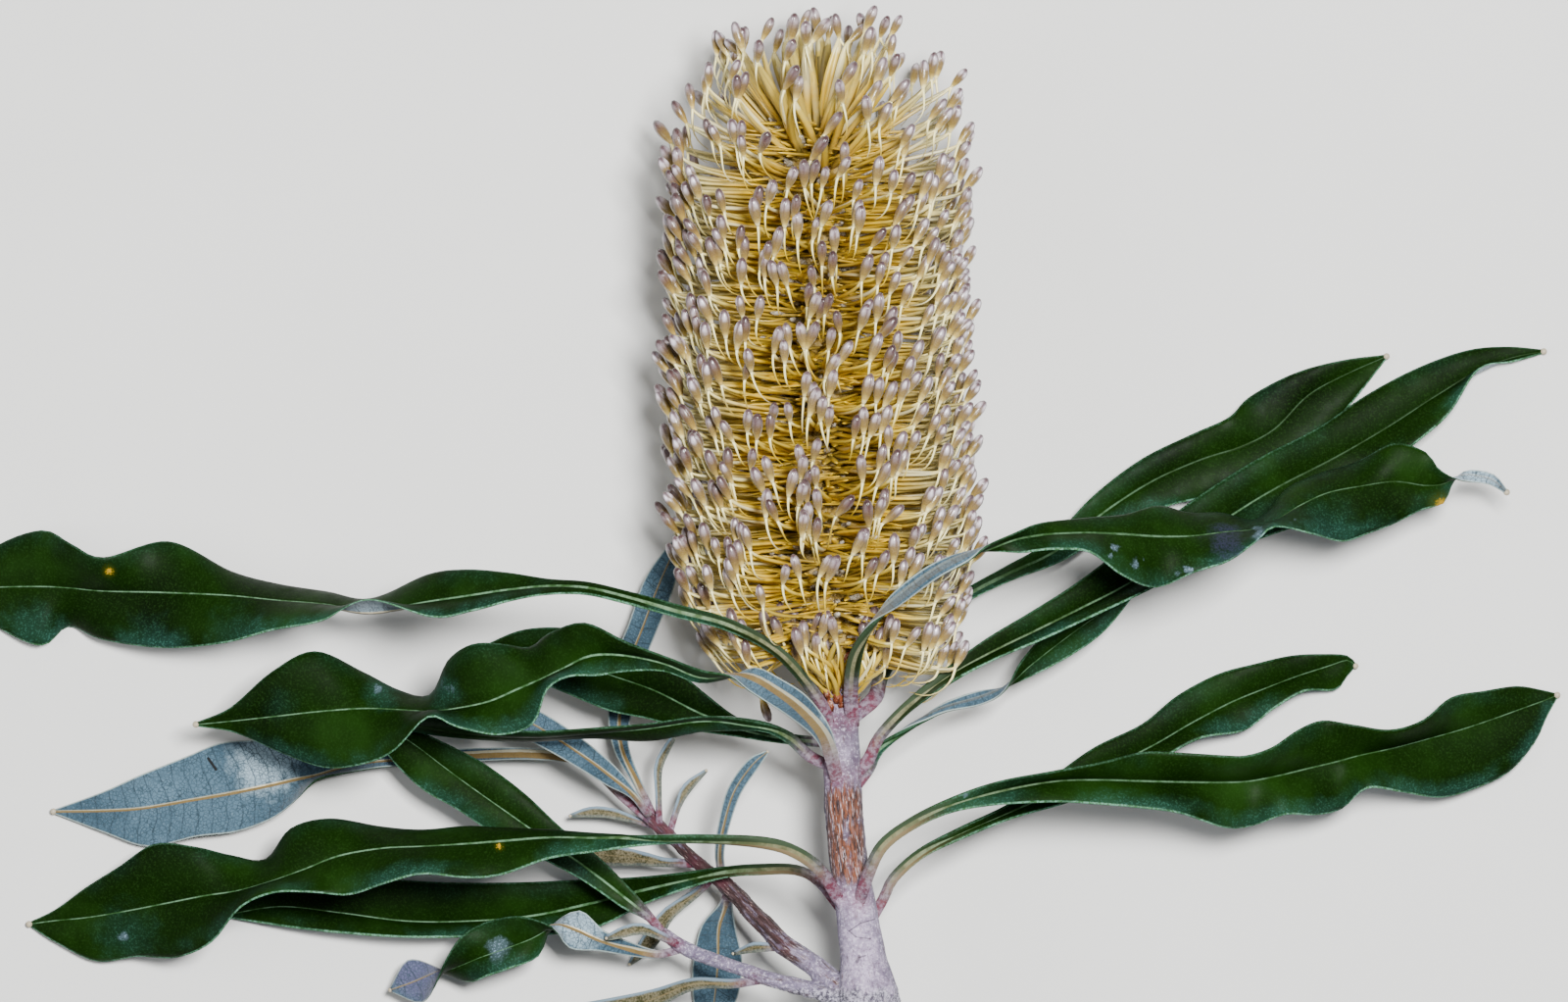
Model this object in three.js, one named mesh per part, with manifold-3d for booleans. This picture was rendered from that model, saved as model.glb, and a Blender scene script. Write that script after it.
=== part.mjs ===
// A cut banksia stem lying on a flat surface: one cylindrical flower spike of hooked yellow florets,
// a woody stem with two thin side shoots, and whorls of wavy leathery leaves.
// Millimetres. +Y runs along the spike towards its top, +Z is up from the surface, and the origin is
// the small flat spot on the lowest floret, where the spike rests.
import * as THREE from "three";
import { mergeVertices } from "three/addons/utils/BufferGeometryUtils.js";
import Module from "manifold-3d";

const wasm = await Module();
wasm.setup();

// Driving dimensions
const AXIS_HEIGHT = 31; // the spike's axis above the surface
const GAP = 0.35; // clearance between separate pieces that touch
const BLADE_HALF = 0.4; // half the thickness of a leaf blade
const PETIOLE_HALF = 0.75; // half the thickness of a large leaf's stalk
const BLADE_CROWN = 0.06; // how far each half blade bulges, as a share of its width
const WIDE_BLADE = 4.5; // leaves with half blades wider than this get that bulge
const STALK_SHARE = 0.62; // half thickness of a thin stalk, as a share of half its width
const THINNING = { from: 0.1, to: 0.35 }; // shares of a leaf's length over which its stalk thins out
const SIDES = { stem: 10, shoot: 7, core: 16, floret: 3 };

const FLORET_COUNT = 280; // fewer than on the real spike, so each one is larger than life
const REST_FLORET = 130; // the floret whose bud carries the rest spot
const GOLDEN_ANGLE = Math.PI * (3 - Math.sqrt(5));
const FLORET = {
  lowest: -61, // root heights along the spike's axis
  highest: 49.5,
  axis: 7, // radius of the woody axis that the roots stand on
  sunk: 2.5, // how deep a root is sunk below that
  reach: 20, // from the axis to the elbow
  rise: 7, // from the elbow to the bud
  bud: 6.8, // the bud's length
  bulge: 0.55, // where along its length the bud is widest
  thread: 0.8, // radii of the stalk and of the bud
  budRadius: 2.1,
  pressed: 1.15, // height above the surface of a bud that lies on it
  bend: 62, // degrees from the stalk's outward way to the upturned end
  lean: 8, // degrees more at the bud
};
// How the florets change towards the ends of the spike: the highest fan out into a crown, the lowest sag
const CROWN = { from: 24, to: 51, fan: 78, upright: 18, shorter: 12 };
const SKIRT = { from: 44, to: 62, sag: 17, upright: 6, shorter: 2.5 };
const WOBBLE = { height: 1.6, angle: 0.16, tilt: 12 };
const SPIKE_REGION = { low: [-40, -76, 0], high: [40, 74, 70] };
const GROUND = { width: 200, length: 300, depth: 20 };

// The stem and its shoots: x, y, z and radius
const STEM = [
  [12, -147, 27, 6.2], [11.2, -140, 28, 6.2], [10.2, -132, 29.5, 6], [9.4, -127, 30.2, 5],
  [8.4, -120, 30.8, 4.4], [7.4, -113, 31, 4.1], [6.2, -106, 31, 3.9], [5.4, -98, 31, 3.9],
  [5, -90, 31, 3.9], [4.8, -84, 31, 3.8], [4.6, -78, 31, 3.5], [4.2, -73, 31, 3.2], [3.8, -69.8, 31, 3.2],
];
const UPPER_SHOOT = [
  [8, -131, 29, 2.6], [4, -131, 28, 2.5], [-1, -127, 25, 2.3], [-7, -123, 21, 2.1], [-13, -117, 17, 1.9],
  [-19, -111, 13, 1.7], [-23, -108, 11.5, 1.5], [-27, -104.4, 10.2, 1.3], [-31, -100.4, 9.4, 1.3],
  [-34.2, -97.6, 9.2, 1.2], [-35.6, -96, 9.4, 0.8],
];
const LOWER_SHOOT = [
  [9, -134, 29.5, 2], [3, -133, 28.6, 1.8], [-3, -131.6, 27, 1.7], [-9, -130.2, 24.4, 1.6],
  [-14, -128.6, 21.6, 1.5], [-19, -127, 19, 1.4], [-25, -125, 16.4, 1.5], [-29, -123, 14.8, 1.5],
  [-31.8, -120.8, 13.4, 1.2],
];

// The spike's core, which is its woody axis with the packed inner ends of the stalks: x, y, z and radius
const CORE = [
  [3.8, -69.35, 31, 3.4], [3.2, -67, 31, 5.2], [2.4, -64, 31, 9], [1.7, -59, 31, 14], [1.2, -52, 31, 17.6],
  [0.8, -40, 31, 19], [0, 0, 31, 19], [-0.6, 28, 31, 18.6], [-0.9, 38, 31, 16.4], [-1, 45, 31, 12],
  [-1.1, 50, 31, 6.5], [-1.2, 53, 31, 2],
];

// Leaves. Each station, from the stem to the tip: the rib's x, y and z, then for the margin nearer the
// spike's top its reach sideways and its rise, then the same for the other margin. A negative reach
// turns the blade over, so that its pale underside shows.
const LEAVES = {
  leaf_upper_left: [
    [2.6, -78.5, 33, 1.2, 0, 1.2, 0], [0, -72.4, 38, 1.2, 0, 1.2, 0], [-8, -63, 47, 1.2, 0, 1.2, 0],
    [-18, -57.4, 54, 1.3, 0, 1.3, 0], [-29, -54.4, 56, 1.4, 0, 1.3, 0],
    [-39, -51.8, 54, 1.4, -0.5, 1.2, 0.8], [-47, -50, 51, 1.4, -1, 1.2, 1.2],
    [-55, -49.6, 48, 1.6, -1.5, 1.6, 2], [-63, -50.4, 44.5, 3.8, -2, 2, 3.5],
    [-71, -51.6, 41, 5.6, -2, 2.8, 5], [-79, -52.8, 37, 5.8, -4, 2.8, 6.5],
    [-91.6, -54.8, 30, 2.8, -8, -2.8, 8], [-101, -53.4, 25.5, 2.8, -8.5, 3, 8],
    [-111, -52.6, 21, 3.6, -8, 5.8, 7], [-121, -51.6, 17, 5.2, -7, 9.6, 3.5],
    [-134, -51, 12, 10.6, -2, 11.4, 0], [-147, -50.6, 8, 6.6, 7, 10.2, -3], [-154, -50, 6, 8.8, 5, 8.2, -5],
    [-160, -49.8, 4, 11.6, 0, 12.2, 0], [-170, -50, 1.5, 8, -1, 8, 0], [-179, -50.8, 0.5, 0.4, 0, 0.4, 0],
  ],
  leaf_curled_left: [
    [4, -90, 33, -1.3, 0, -1.3, 0], [2.6, -84, 38, -1.5, 0.2, -1.5, 0.2],
    [0.6, -79, 43.5, -2, 0.5, -2, 0.5], [-4, -74, 49, -2.8, 1, -2.8, 0.5],
    [-9, -70.4, 53, -3, 1.5, -2.6, 0], [-13.6, -68, 55, -2.6, 2.2, -2.2, -1.5],
    [-18, -67.6, 55.5, 0, 3.2, 0.4, -2.6], [-24, -67.6, 55, 1.2, 2.6, 1.4, -1.5],
    [-31, -65, 53.5, 1.2, 3, 1.8, 0], [-39, -63.4, 51, 2.4, 4, 3.4, 1], [-46, -63.6, 48.5, 6.8, 2, 4, 3],
    [-51.4, -66.2, 46, 8, -2, 1.5, 6], [-56, -68.4, 44, 7.2, -5, 2, 6], [-61, -70.4, 42, 10, -2, 7.6, 3],
    [-67, -73, 39.5, 12.2, 0, 7, 4], [-74, -74.6, 37, 10, -3, 3.4, 7],
    [-79.4, -75.2, 34.5, 3.6, -7, 0.6, 8.5], [-86, -74.8, 32, 4.2, -8, 8, 5],
    [-93, -74.6, 29, 7.6, -6, 11.2, 2], [-102, -75.2, 26, 12.4, -1, 11.6, -1],
    [-111, -76.2, 23, 9, 2, 7.6, -2], [-120, -77.2, 20, 2.8, 1, 2.4, -1], [-127.6, -78, 17, 0.4, 0, 0.4, 0],
  ],
  leaf_edge_on_left: [
    [3, -86.5, 31, 1.2, 0, 1.2, 0], [-1.8, -84.2, 33, 1.2, 0, 1.2, 0], [-6, -80.4, 36, 1.2, 0, 1.2, 0],
    [-12, -77.8, 38, 0.8, 1, 1.2, -0.5], [-23, -76.8, 38.5, 0.8, 2, 2.5, -3.5],
    [-35, -78.4, 36, 0.8, 3, 3, -5], [-47, -79.6, 32, 0.8, 5, 1, -6], [-59, -80.4, 28, 1, 6, 0.8, -7],
    [-71, -79.8, 24, 1.5, 6, 1, -6.5], [-81, -78.4, 21, 2, 4, 1.5, -4], [-89, -77.2, 19, 0.4, 0, 0.4, 0],
  ],
  leaf_behind_left: [
    [5, -81.5, 28, 1.1, 0, 1.1, 0], [-0.4, -81.4, 25, 1.1, 0, 1.1, 0], [-9, -80.4, 25, 1.2, 0, 1.2, 0],
    [-17, -78.4, 24.5, 2, 1, 2, 0], [-24.6, -75.4, 23, 4, 1, 4, 0], [-33, -71.2, 20.5, 6, 1, 6, 0],
    [-41, -68.4, 18, 7, 1, 7, 1], [-51, -65.4, 15, 7, 2, 6, 2], [-61, -63.6, 12, 5, 2, 4, 1],
    [-70, -62.8, 9.5, 0.4, 0, 0.4, 0],
  ],
  leaf_lower_left: [
    [4.5, -114, 33.5, 1.3, 0, 1.3, 0], [0.6, -107.6, 39, 1.3, 0, 1.3, 0],
    [-4.6, -103.6, 43, 1.3, 0, 1.3, 0], [-11, -101.6, 45.5, 1.2, 0.6, 1.2, -0.6],
    [-23, -100.8, 45.5, 0.8, 1.2, 0.8, -1], [-35, -101, 43.5, 0.9, 0.6, 1.2, 0.4],
    [-45, -100.8, 41, 1, -2.5, 2.6, 2], [-55, -100.8, 38, 1.8, -3.5, 4, 3],
    [-65, -101.6, 35, 3, -5, 6.6, 3], [-72, -102.2, 33, 3.8, -6.5, 6.6, 5],
    [-81, -102.8, 30.5, 3.6, -8, 5.2, 6], [-89, -103.2, 28, 4.6, -8, 6.8, 5],
    [-98, -104.8, 25, 8, -5, 8, 4], [-105, -107.6, 22.5, 9, -3, 4.6, 7], [-112, -110.2, 20, 5, -7, 1.8, 9],
    [-119, -112.2, 17.5, 7.6, -5, 3, 8.5], [-126, -113.2, 14.5, 10.2, 0, 9.4, 4],
    [-134, -114.8, 11, 12.4, 2, 11.4, 0], [-142, -116.4, 7.5, 9.2, 3, 9.8, -2],
    [-150, -117.8, 4.5, 6, 2, 9.4, -2], [-157, -118.6, 2, 2.2, 0, 5, 0],
    [-162.6, -119.4, 0.6, 0.4, 0, 0.4, 0],
  ],
  leaf_under_left: [
    [5, -116, 28, 1.1, 0, 1.1, 0], [0.2, -110, 27.5, 1.1, 0, 1.1, 0], [-4.6, -107.6, 25.5, 1.1, 0, 1.1, 0],
    [-12, -107.6, 22.5, 1.2, 0, 1.2, 0], [-19, -108.2, 19.5, 1.2, 0, 1.2, 0],
    [-28, -110.2, 14, 1.8, 1, 1.8, 1], [-37, -112.4, 9, 3, 1, 3, 1], [-47, -115, 6, 5, 1.5, 5, 1.5],
    [-59, -117.6, 4.5, 7, 2, 4, 2], [-72, -118.8, 3.5, 8, 2, 2.8, 5], [-85, -118.8, 3, 8.5, 1, 2.8, 6],
    [-99, -117, 2.5, 8, 0, 3.8, 4], [-111, -115.8, 1.8, 5, 0, 3.8, 2], [-122.6, -117.6, 1, 0.4, 0, 0.4, 0],
  ],
  leaf_upper_right: [
    [7, -78, 33, 1.4, 0, 1.4, 0], [6.6, -71, 37.5, 1.5, 0, 1.5, 0], [7.6, -63.6, 45, 1.4, 0, 1.4, 0],
    [10.6, -57.6, 52.5, 0.3, 1.4, 0.3, -1.4], [15.4, -52.4, 58, -1.4, 0, -1.4, 0],
    [23, -46.6, 60.5, -1.6, 0.3, -1.6, 0.3], [30, -43.4, 60, -1, 1.2, -1, -1.2],
    [34, -41.8, 59, 0.5, 1.8, 0.6, -1.2], [40, -39.8, 57, 1.2, 2.2, 3, 1],
    [44, -39.3, 55.6, 2.4, 0.4, 2.9, 2.6], [48, -39, 54, 2.8, -2, 2.8, 4], [55, -38.8, 51, 3.4, -3, 3.6, 5],
    [62, -39, 47.5, 4.2, -3, 8.2, 3], [69, -39.4, 44, 6.4, -4, 10.4, 0], [76, -39.4, 40.5, 5, -5, 7.2, 5],
    [83, -38.6, 37, 4.2, -7, 5.6, 7], [88.6, -38.2, 34.5, 2.2, -8.5, 2, 8.5],
    [92.6, -36.8, 32.5, 2.5, -8.5, 0.4, 9], [98, -33.4, 30, 4.5, -7, 6.2, 5],
    [104, -30.6, 27.5, 4.5, -6, 10.4, 0], [111, -29.2, 25, 5.2, -5, 9.8, 0],
    [118, -28.2, 22.5, 7.8, 0, 8.6, 0], [124, -29, 20.5, 6.8, 1.6, 5, 1],
    [127.4, -28.8, 19.6, 3.4, 3.2, 4, 0.2], [129.4, -28, 19.4, 1, 3, 1.2, -1.6],
    [131.4, -27.4, 19.2, -0.6, 1.8, -0.4, -1.6], [133.6, -27, 19, -1.3, 0.8, -1.2, -0.2],
    [138, -27.8, 18, -1.2, 0, -1.2, 0], [141.2, -30.4, 16.5, -0.4, 0, -0.4, 0],
  ],
  leaf_back_right: [
    [7.5, -76, 28, 1.5, 0, 1.5, 0], [11.6, -72.4, 24.5, 1.6, 0, 1.6, 0], [13, -68, 18, 1.5, 0, 1.5, 0],
    [16, -64, 12.5, 1.3, 0, 1.3, 0], [22, -58.4, 8.5, 1.2, 0, 1.2, 0], [30, -52, 7, 1.3, 0, 1.3, 0],
    [39, -47.2, 6.5, 1.6, 0, 1.6, 0], [49, -42.4, 6, 2.5, 1, 2.5, 1], [59, -34.4, 5.5, 4, 1, 4, 1],
    [69, -28, 5, 5, 1, 6, 1], [79, -23.6, 4.5, 5.5, 1, 8, 1], [87, -21, 4, 6.4, 2, 9, 1],
    [94, -17.4, 3.5, 8.4, 0, 9, 1], [101, -10.4, 3, 5.4, 1, 8, 1], [109, -6, 2.2, 3, 1, 5, 1],
    [117.2, -2.4, 1.2, 0.4, 0, 0.4, 0],
  ],
  leaf_long_right: [
    [7, -88.5, 31, 1.3, 0, 1.3, 0], [10.2, -85, 31.5, 1.3, 0, 1.3, 0], [12.4, -80.4, 32, 1.2, 0, 1.2, 0],
    [18, -74.4, 32, 1.2, 0, 1.2, 0], [26, -68.4, 31, 1.6, 0.8, 1.4, 1], [35, -63.4, 29, 3, 1, 1.4, 3],
    [45, -58.6, 26.5, 4, 1, 1.8, 4], [54, -54.2, 24, 5, 1, 2, 5], [63, -49.6, 21, 6.5, 1, 2.4, 6],
    [74, -42.6, 17, 7, 1, 4, 5], [86, -34.4, 13, 7, 2, 7, 2], [95, -29, 11, 7, 2, 9, 1],
    [106, -23.4, 8.5, 7, 1, 9, 0], [117, -17.2, 6.5, 8, 0, 6, 4], [127, -10.8, 4.5, 7, 0, 4.4, 4],
    [136, -5.6, 3, 5, 0, -0.6, 4], [143, -2.8, 2, 2.5, 0, 0.8, 1], [149.6, -1.4, 1, 0.4, 0, 0.4, 0],
  ],
  leaf_short_right: [
    [7, -91.5, 28, 1.1, 0, 1.1, 0], [10.4, -87, 26.5, 1.1, 0, 1.1, 0], [12.4, -83, 26, 1.1, 0, 1.1, 0],
    [18, -79, 24.5, 0.2, 1.1, 0.2, -1.1], [22, -76.6, 23.3, -0.5, 1, -0.5, -0.8],
    [26, -74.4, 22, -1, 0.6, -1, 0.2], [33, -72.4, 20, -1.6, 0.6, -1.4, 0.2],
    [38, -70.8, 18, -0.4, 1.6, -0.4, -1.6], [43, -66.4, 15, 2, 1, 2, 0], [50, -61, 12, 3.5, 1, 3.5, 1],
    [57, -56, 10, 3.5, 1, 3.5, 0], [65, -51, 8.5, 0.4, 0, 0.4, 0],
  ],
  leaf_lower_right: [
    [8, -115, 33.5, 1.3, 0, 1.3, 0], [10, -108.6, 37.5, 1.3, 0, 1.3, 0], [13, -102.4, 40, 1.3, 0, 1.3, 0],
    [19, -97.8, 41, 1.3, 0, 1.3, 0], [27, -94, 40, 1.4, 0.6, 1.6, 0.4], [37, -91.2, 37.5, 2, 2, 2.8, 1.5],
    [48, -89.2, 34, 1.8, 4, 4.2, 3], [57, -89, 31, 3.2, 5, 4.8, 4], [66, -89.4, 28, 5.8, 4, 5.2, 5],
    [74, -89.6, 25.5, 5.8, 5, 6.2, 5], [83, -89.6, 23, 5.2, 7, 9.4, 1], [88, -89.4, 21.5, 5, 8, 9.4, -1],
    [94, -88.4, 20, 5.8, 8, 8, 4], [100, -87, 18, 8, 6, 9.8, 0], [105.4, -85.8, 16.5, 8.8, 4, 9.8, -2],
    [111, -84.4, 14.5, 6.4, 7, 6.6, 6], [118, -82.8, 12.5, 3.6, 9, 9.4, 2],
    [125, -81, 10, 3.8, 9, 12.6, -2], [132, -79.2, 7.5, 6.8, 5, 12.6, -2], [139, -77, 5, 6, 2, 11.4, -1],
    [145.4, -74.8, 2.8, 4.8, 0, 7.4, 0], [149.4, -73.4, 1.6, 2.6, 0, 3, 0],
    [152.4, -72.2, 0.8, 0.4, 0, 0.4, 0],
  ],
  leaf_under_right: [
    [9.5, -120, 28.5, 1.1, 0, 1.1, 0], [13.2, -113.6, 28, 1.1, 0, 1.1, 0],
    [15.4, -109.2, 27.5, 1.1, 0, 1.1, 0], [21, -104.2, 26.5, 1.1, 0, 1.1, 0],
    [29, -100.2, 24, 1.2, 0.8, 1.2, 0.6], [39, -96, 20.5, 1.6, 1.5, 1.4, 1], [49, -91.6, 16.5, 3, 1, 3, 1],
    [59, -87.2, 13, 5, 1, 4, 1], [69, -82.4, 10, 5, 1, 3, 3], [77, -77.8, 8, 6.4, 1, 3.4, 3],
    [85, -73.6, 6, 6.4, 1, 6.4, 1], [92, -70.8, 4.8, 5.4, 2, 4.4, 3], [99, -68.2, 3.6, 4.4, 1, 3.2, 3],
    [105, -66.2, 2.6, 2.6, 1, 5.2, 0], [109, -65, 1.8, 1, 0, 3.4, 0], [110.8, -66.2, 1, 0.4, 0, 0.4, 0],
  ],
  // Leaves of the upper shoot
  leaf_pale_underside: [
    [-35, -97.6, 9, -0.8, 0, -0.8, 0], [-39.4, -93.6, 10, -1, 0, -1, 0], [-48, -86, 10.5, -1.1, 0, -1.1, 0],
    [-58, -84.2, 9, -1.2, 0, -1.2, 0], [-71, -84.4, 7, -1.4, 0, -1.4, 0],
    [-81, -85.2, 6, -1.5, 0.5, -1.6, 0], [-90, -85.8, 5.5, -1.2, 1.5, -2.5, 2],
    [-98, -87.4, 5, -1, 4, -6, 2], [-103.4, -89, 4.5, -0.8, 6, -8, 1], [-107, -89.6, 4.2, -3.5, 5, -9, 0],
    [-113, -90.8, 3.8, -6.6, 2, -9.6, 0], [-121, -92.4, 3.2, -8, 1, -10.6, 0],
    [-129, -93.8, 2.6, -7.6, 2, -9, 1], [-139, -95.4, 2, -8, 0, -6.8, 2], [-147, -96, 1.5, -4.6, 0, -4, 0],
    [-157.6, -96.2, 0.8, -0.4, 0, -0.4, 0],
  ],
  leaf_shoot_wide: [
    [-34.8, -96.8, 10, -0.8, 0, -0.8, 0], [-38, -92.4, 14.5, -0.9, 0, -0.9, 0],
    [-42, -89, 17, -2, 0, -2, 0], [-47, -85.2, 18.5, -2.6, 0, -2.6, 0], [-53, -81.2, 18.5, -3, 0, -3, 0],
    [-59, -77.6, 17.5, -3.4, 0, -3, 0], [-66, -74.4, 15.5, -3, 0, -2.6, 0],
    [-73, -72.4, 13, -0.4, 0, -0.4, 0],
  ],
  leaf_shoot_upright: [
    [-33.8, -97, 9.2, -0.8, 0, -0.8, 0], [-37.2, -90, 9.6, -1, 0, -1, 0],
    [-40.4, -83, 9.5, -1.6, 0, -1.6, 0], [-40.8, -76, 8.5, -2.4, 0, -2.4, 0], [-39, -66, 7, -3, 0, -3, 0],
    [-36, -58, 6, -3, 0, -3, 0], [-33, -50, 5, -3.2, 0, -3.2, 0], [-30.2, -43.6, 4, -2, 0, -2, 0],
    [-28.6, -39.6, 3.2, -0.4, 0, -0.4, 0],
  ],
  leaf_shoot_narrow: [
    [-32.6, -99, 9.6, 0.7, 0, 0.7, 0], [-32.8, -92, 12.6, 0.7, 0, 0.7, 0], [-32.8, -87, 14, 0.9, 0, 0.9, 0],
    [-31.4, -83.6, 15, 0.9, 0, 0.9, 0], [-29, -79.6, 15.5, 0.4, 0, 0.4, 0],
  ],
  leaf_shoot_spur: [
    [-30.6, -100.8, 9.4, 0.7, 0, 0.7, 0], [-28.8, -95, 9.5, 0.7, 0, 0.7, 0],
    [-26.8, -91, 9.5, 1.1, 0, 1.1, 0], [-23, -87.6, 9, 0.4, 0, 0.4, 0],
  ],
  leaf_shoot_side: [
    [-32.4, -99.4, 9.2, 0.7, 0, 0.7, 0], [-37, -98, 7.4, 0.7, 0, 0.7, 0],
    [-42.6, -96.4, 6.6, 1.1, 0, 1.1, 0], [-47, -96.2, 5.8, 1.1, 0, 1.1, 0], [-51, -97, 5, 0.4, 0, 0.4, 0],
  ],
  leaf_shoot_middle: [
    [-24.4, -106.8, 10.8, 0.8, 0, 0.8, 0], [-28, -106.6, 9.6, 0.9, 0, 0.9, 0],
    [-32, -106.4, 9, 1, 0.3, 1, 0.3], [-37, -105.6, 8.4, 1.6, 0, 1.6, 0], [-46, -104.8, 7, 2.2, 0, 2.2, 0],
    [-55, -104.4, 5.5, 0.4, 0, 0.4, 0],
  ],
  leaf_shoot_tall: [
    [-19.6, -110.6, 13, -0.8, 0, -0.8, 0], [-20, -107.4, 14.8, -0.9, 0, -0.9, 0],
    [-20.2, -104, 18, -1, 0, -1, 0], [-19.4, -99, 22, -1.2, 0, -1.2, 0],
    [-17.2, -91.6, 26, -1.5, 0, -1.5, 0], [-13.4, -86, 28.6, -1.4, 0, -1.4, 0],
    [-10.4, -83.4, 29.6, -0.4, 0, -0.4, 0],
  ],
  leaf_shoot_drooping: [
    [-21.6, -109.4, 11.6, 0.8, 0, 0.8, 0], [-24.8, -112.6, 7.4, 0.9, 0, 0.9, 0],
    [-30.6, -117, 5, 1.4, 0, 1.4, 0], [-33.4, -121, 4, 1.8, 0, 1.8, 0], [-36, -124.4, 3, 1.5, 0, 1.5, 0],
    [-38.8, -127.6, 2, 0.4, 0, 0.4, 0],
  ],
  leaf_shoot_hanging: [
    [-18.4, -111.8, 12.4, -0.9, 0, -0.9, 0], [-19, -115.4, 7.4, -1.5, 0, -1.5, 0],
    [-20.4, -120, 4.5, -3.6, 0, -3.6, 0], [-20.6, -126, 2.5, -5, 0.6, -5, 0.6],
    [-21, -132, 1.5, -5, 0.6, -5, 0.6], [-21.8, -138, 1, -3.5, 0, -3.5, 0],
    [-22.6, -142.4, 0.8, -0.4, 0, -0.4, 0],
  ],
  leaf_shoot_basal: [
    [-5, -124, 21.8, 0.7, 0, 0.7, 0], [-9, -123.6, 20.4, 0.8, 0, 0.8, 0],
    [-13, -123.6, 19.4, 1.1, 0, 1.1, 0], [-17.4, -125, 15, 0.4, 0, 0.4, 0],
  ],
  // Leaves of the lower shoot
  leaf_diagonal: [
    [-31.6, -121.2, 13.4, 0.9, 0, 0.9, 0], [-34.6, -117.6, 14, 1, 0, 1, 0], [-39, -114, 15, 2, 0.5, 2, 0.5],
    [-47, -107.8, 15.5, 3.3, 0.5, 2.6, 0.5], [-55, -102.2, 15.5, 3.8, 0.5, 3.8, 0.5],
    [-63, -96.6, 15, 5.2, 0.5, 5.2, 0], [-71, -91, 14, 5.5, 0.5, 5.5, 0], [-77, -86.6, 13, 4.5, 1, 6.4, 0],
    [-82, -82.8, 12, 3.2, 1, 6, 0], [-87, -79.6, 11, 2.5, 0.5, 4.4, 0], [-92.6, -77, 10, 0.4, 0, 0.4, 0],
  ],
  leaf_twisted_low: [
    [-28, -124, 15, -0.9, 0, -0.9, 0], [-33, -125.2, 14, -0.9, 0, -0.9, 0],
    [-39, -124, 14, -1.5, 0, -1.5, 0], [-44.6, -122.4, 14.5, -2.2, 0.5, -2.2, 0.5],
    [-50, -120, 15, -4, 0.5, -4, 0.5], [-54.6, -119.6, 15, 0, 5, 0, -4.5], [-59, -122, 14.5, 5, 2, 4, -1],
    [-65, -124.4, 13, 6.5, 0, 4, 2], [-69.6, -126, 12.2, 6, 1.5, 4, 1.6],
    [-72.6, -127.2, 11.2, 4.6, 3.8, 4.2, -1], [-75.2, -128.2, 10, 2.4, 5, 2.6, -3.8],
    [-77.4, -129, 9, 0, 5.2, 0, -4.6], [-79.6, -129.8, 8, -2.6, 4.2, -2.6, -3.4],
    [-81.8, -130.6, 7, -4.4, 2, -4.4, -1.6], [-84, -131.4, 6, -4.2, 0.5, -4.2, 0],
    [-88, -132.8, 4.6, -0.4, 0, -0.4, 0],
  ],
  leaf_recurved: [
    [-28.4, -123.4, 15.6, 0.8, 0, 0.8, 0], [-32, -121.4, 18.8, 0.9, 0, 0.9, 0],
    [-36, -119.8, 19.6, 1.2, 0, 1.2, 0], [-39.6, -120.4, 18.6, 1.2, 0, 1.2, 0],
    [-43.4, -121.8, 16.8, 0.6, 0, 0.6, 0],
  ],
  leaf_low_trailing: [
    [-11, -130, 23, 0.9, 0, 0.9, 0], [-17.4, -131, 20.4, 1, 0, 1, 0], [-25.4, -131.2, 15.6, 1.3, 0, 1.3, 0],
    [-33.6, -134.4, 10, 2, 0, 2, 0], [-43, -138, 5.5, 3.5, 0.5, 3.5, 0.5], [-53, -141, 3, 4.5, 1, 4.5, 0.5],
    [-63, -142.4, 2, 3.5, 0, 3.5, 0], [-71, -143, 1, 0.4, 0, 0.4, 0],
  ],
};

const COLOURS = {
  stem: { color: 0xa38d88, roughness: 0.85, metalness: 0 },
  spike: { color: 0xc7a651, roughness: 0.7, metalness: 0 },
  leaf: { color: 0x2c4a1c, roughness: 0.5, metalness: 0 },
};

// A closed three.js geometry as a manifold-3d solid
function toSolid(geometry) {
  const bare = geometry.clone();
  bare.deleteAttribute("normal");
  bare.deleteAttribute("uv");
  const merged = mergeVertices(bare, 1e-4);
  return new wasm.Manifold(
    new wasm.Mesh({
      numProp: 3,
      vertProperties: new Float32Array(merged.attributes.position.array),
      triVerts: new Uint32Array(merged.index.array),
    }),
  );
}

function toGeometry(solid) {
  const mesh = solid.getMesh();
  return new THREE.BufferGeometry()
    .setAttribute("position", new THREE.BufferAttribute(mesh.vertProperties, 3))
    .setIndex(new THREE.BufferAttribute(mesh.triVerts, 1));
}

function largestBody(solid) {
  return solid.decompose().reduce((best, body) => (body.volume() > best.volume() ? body : best));
}

// Rows of points, each a closed ring or a flat section, joined into one closed skin with two end caps
function skin(rings) {
  const sides = rings[0].length;
  const index = [];
  for (let i = 0; i < rings.length - 1; i++) {
    for (let j = 0; j < sides; j++) {
      const a = i * sides + j;
      const b = i * sides + ((j + 1) % sides);
      index.push(a, b, b + sides, a, b + sides, a + sides);
    }
  }
  const last = (rings.length - 1) * sides;
  for (let j = 1; j < sides - 1; j++) {
    index.push(0, j + 1, j);
    index.push(last, last + j, last + j + 1);
  }
  return new THREE.BufferGeometry().setFromPoints(rings.flat()).setIndex(index);
}

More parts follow.
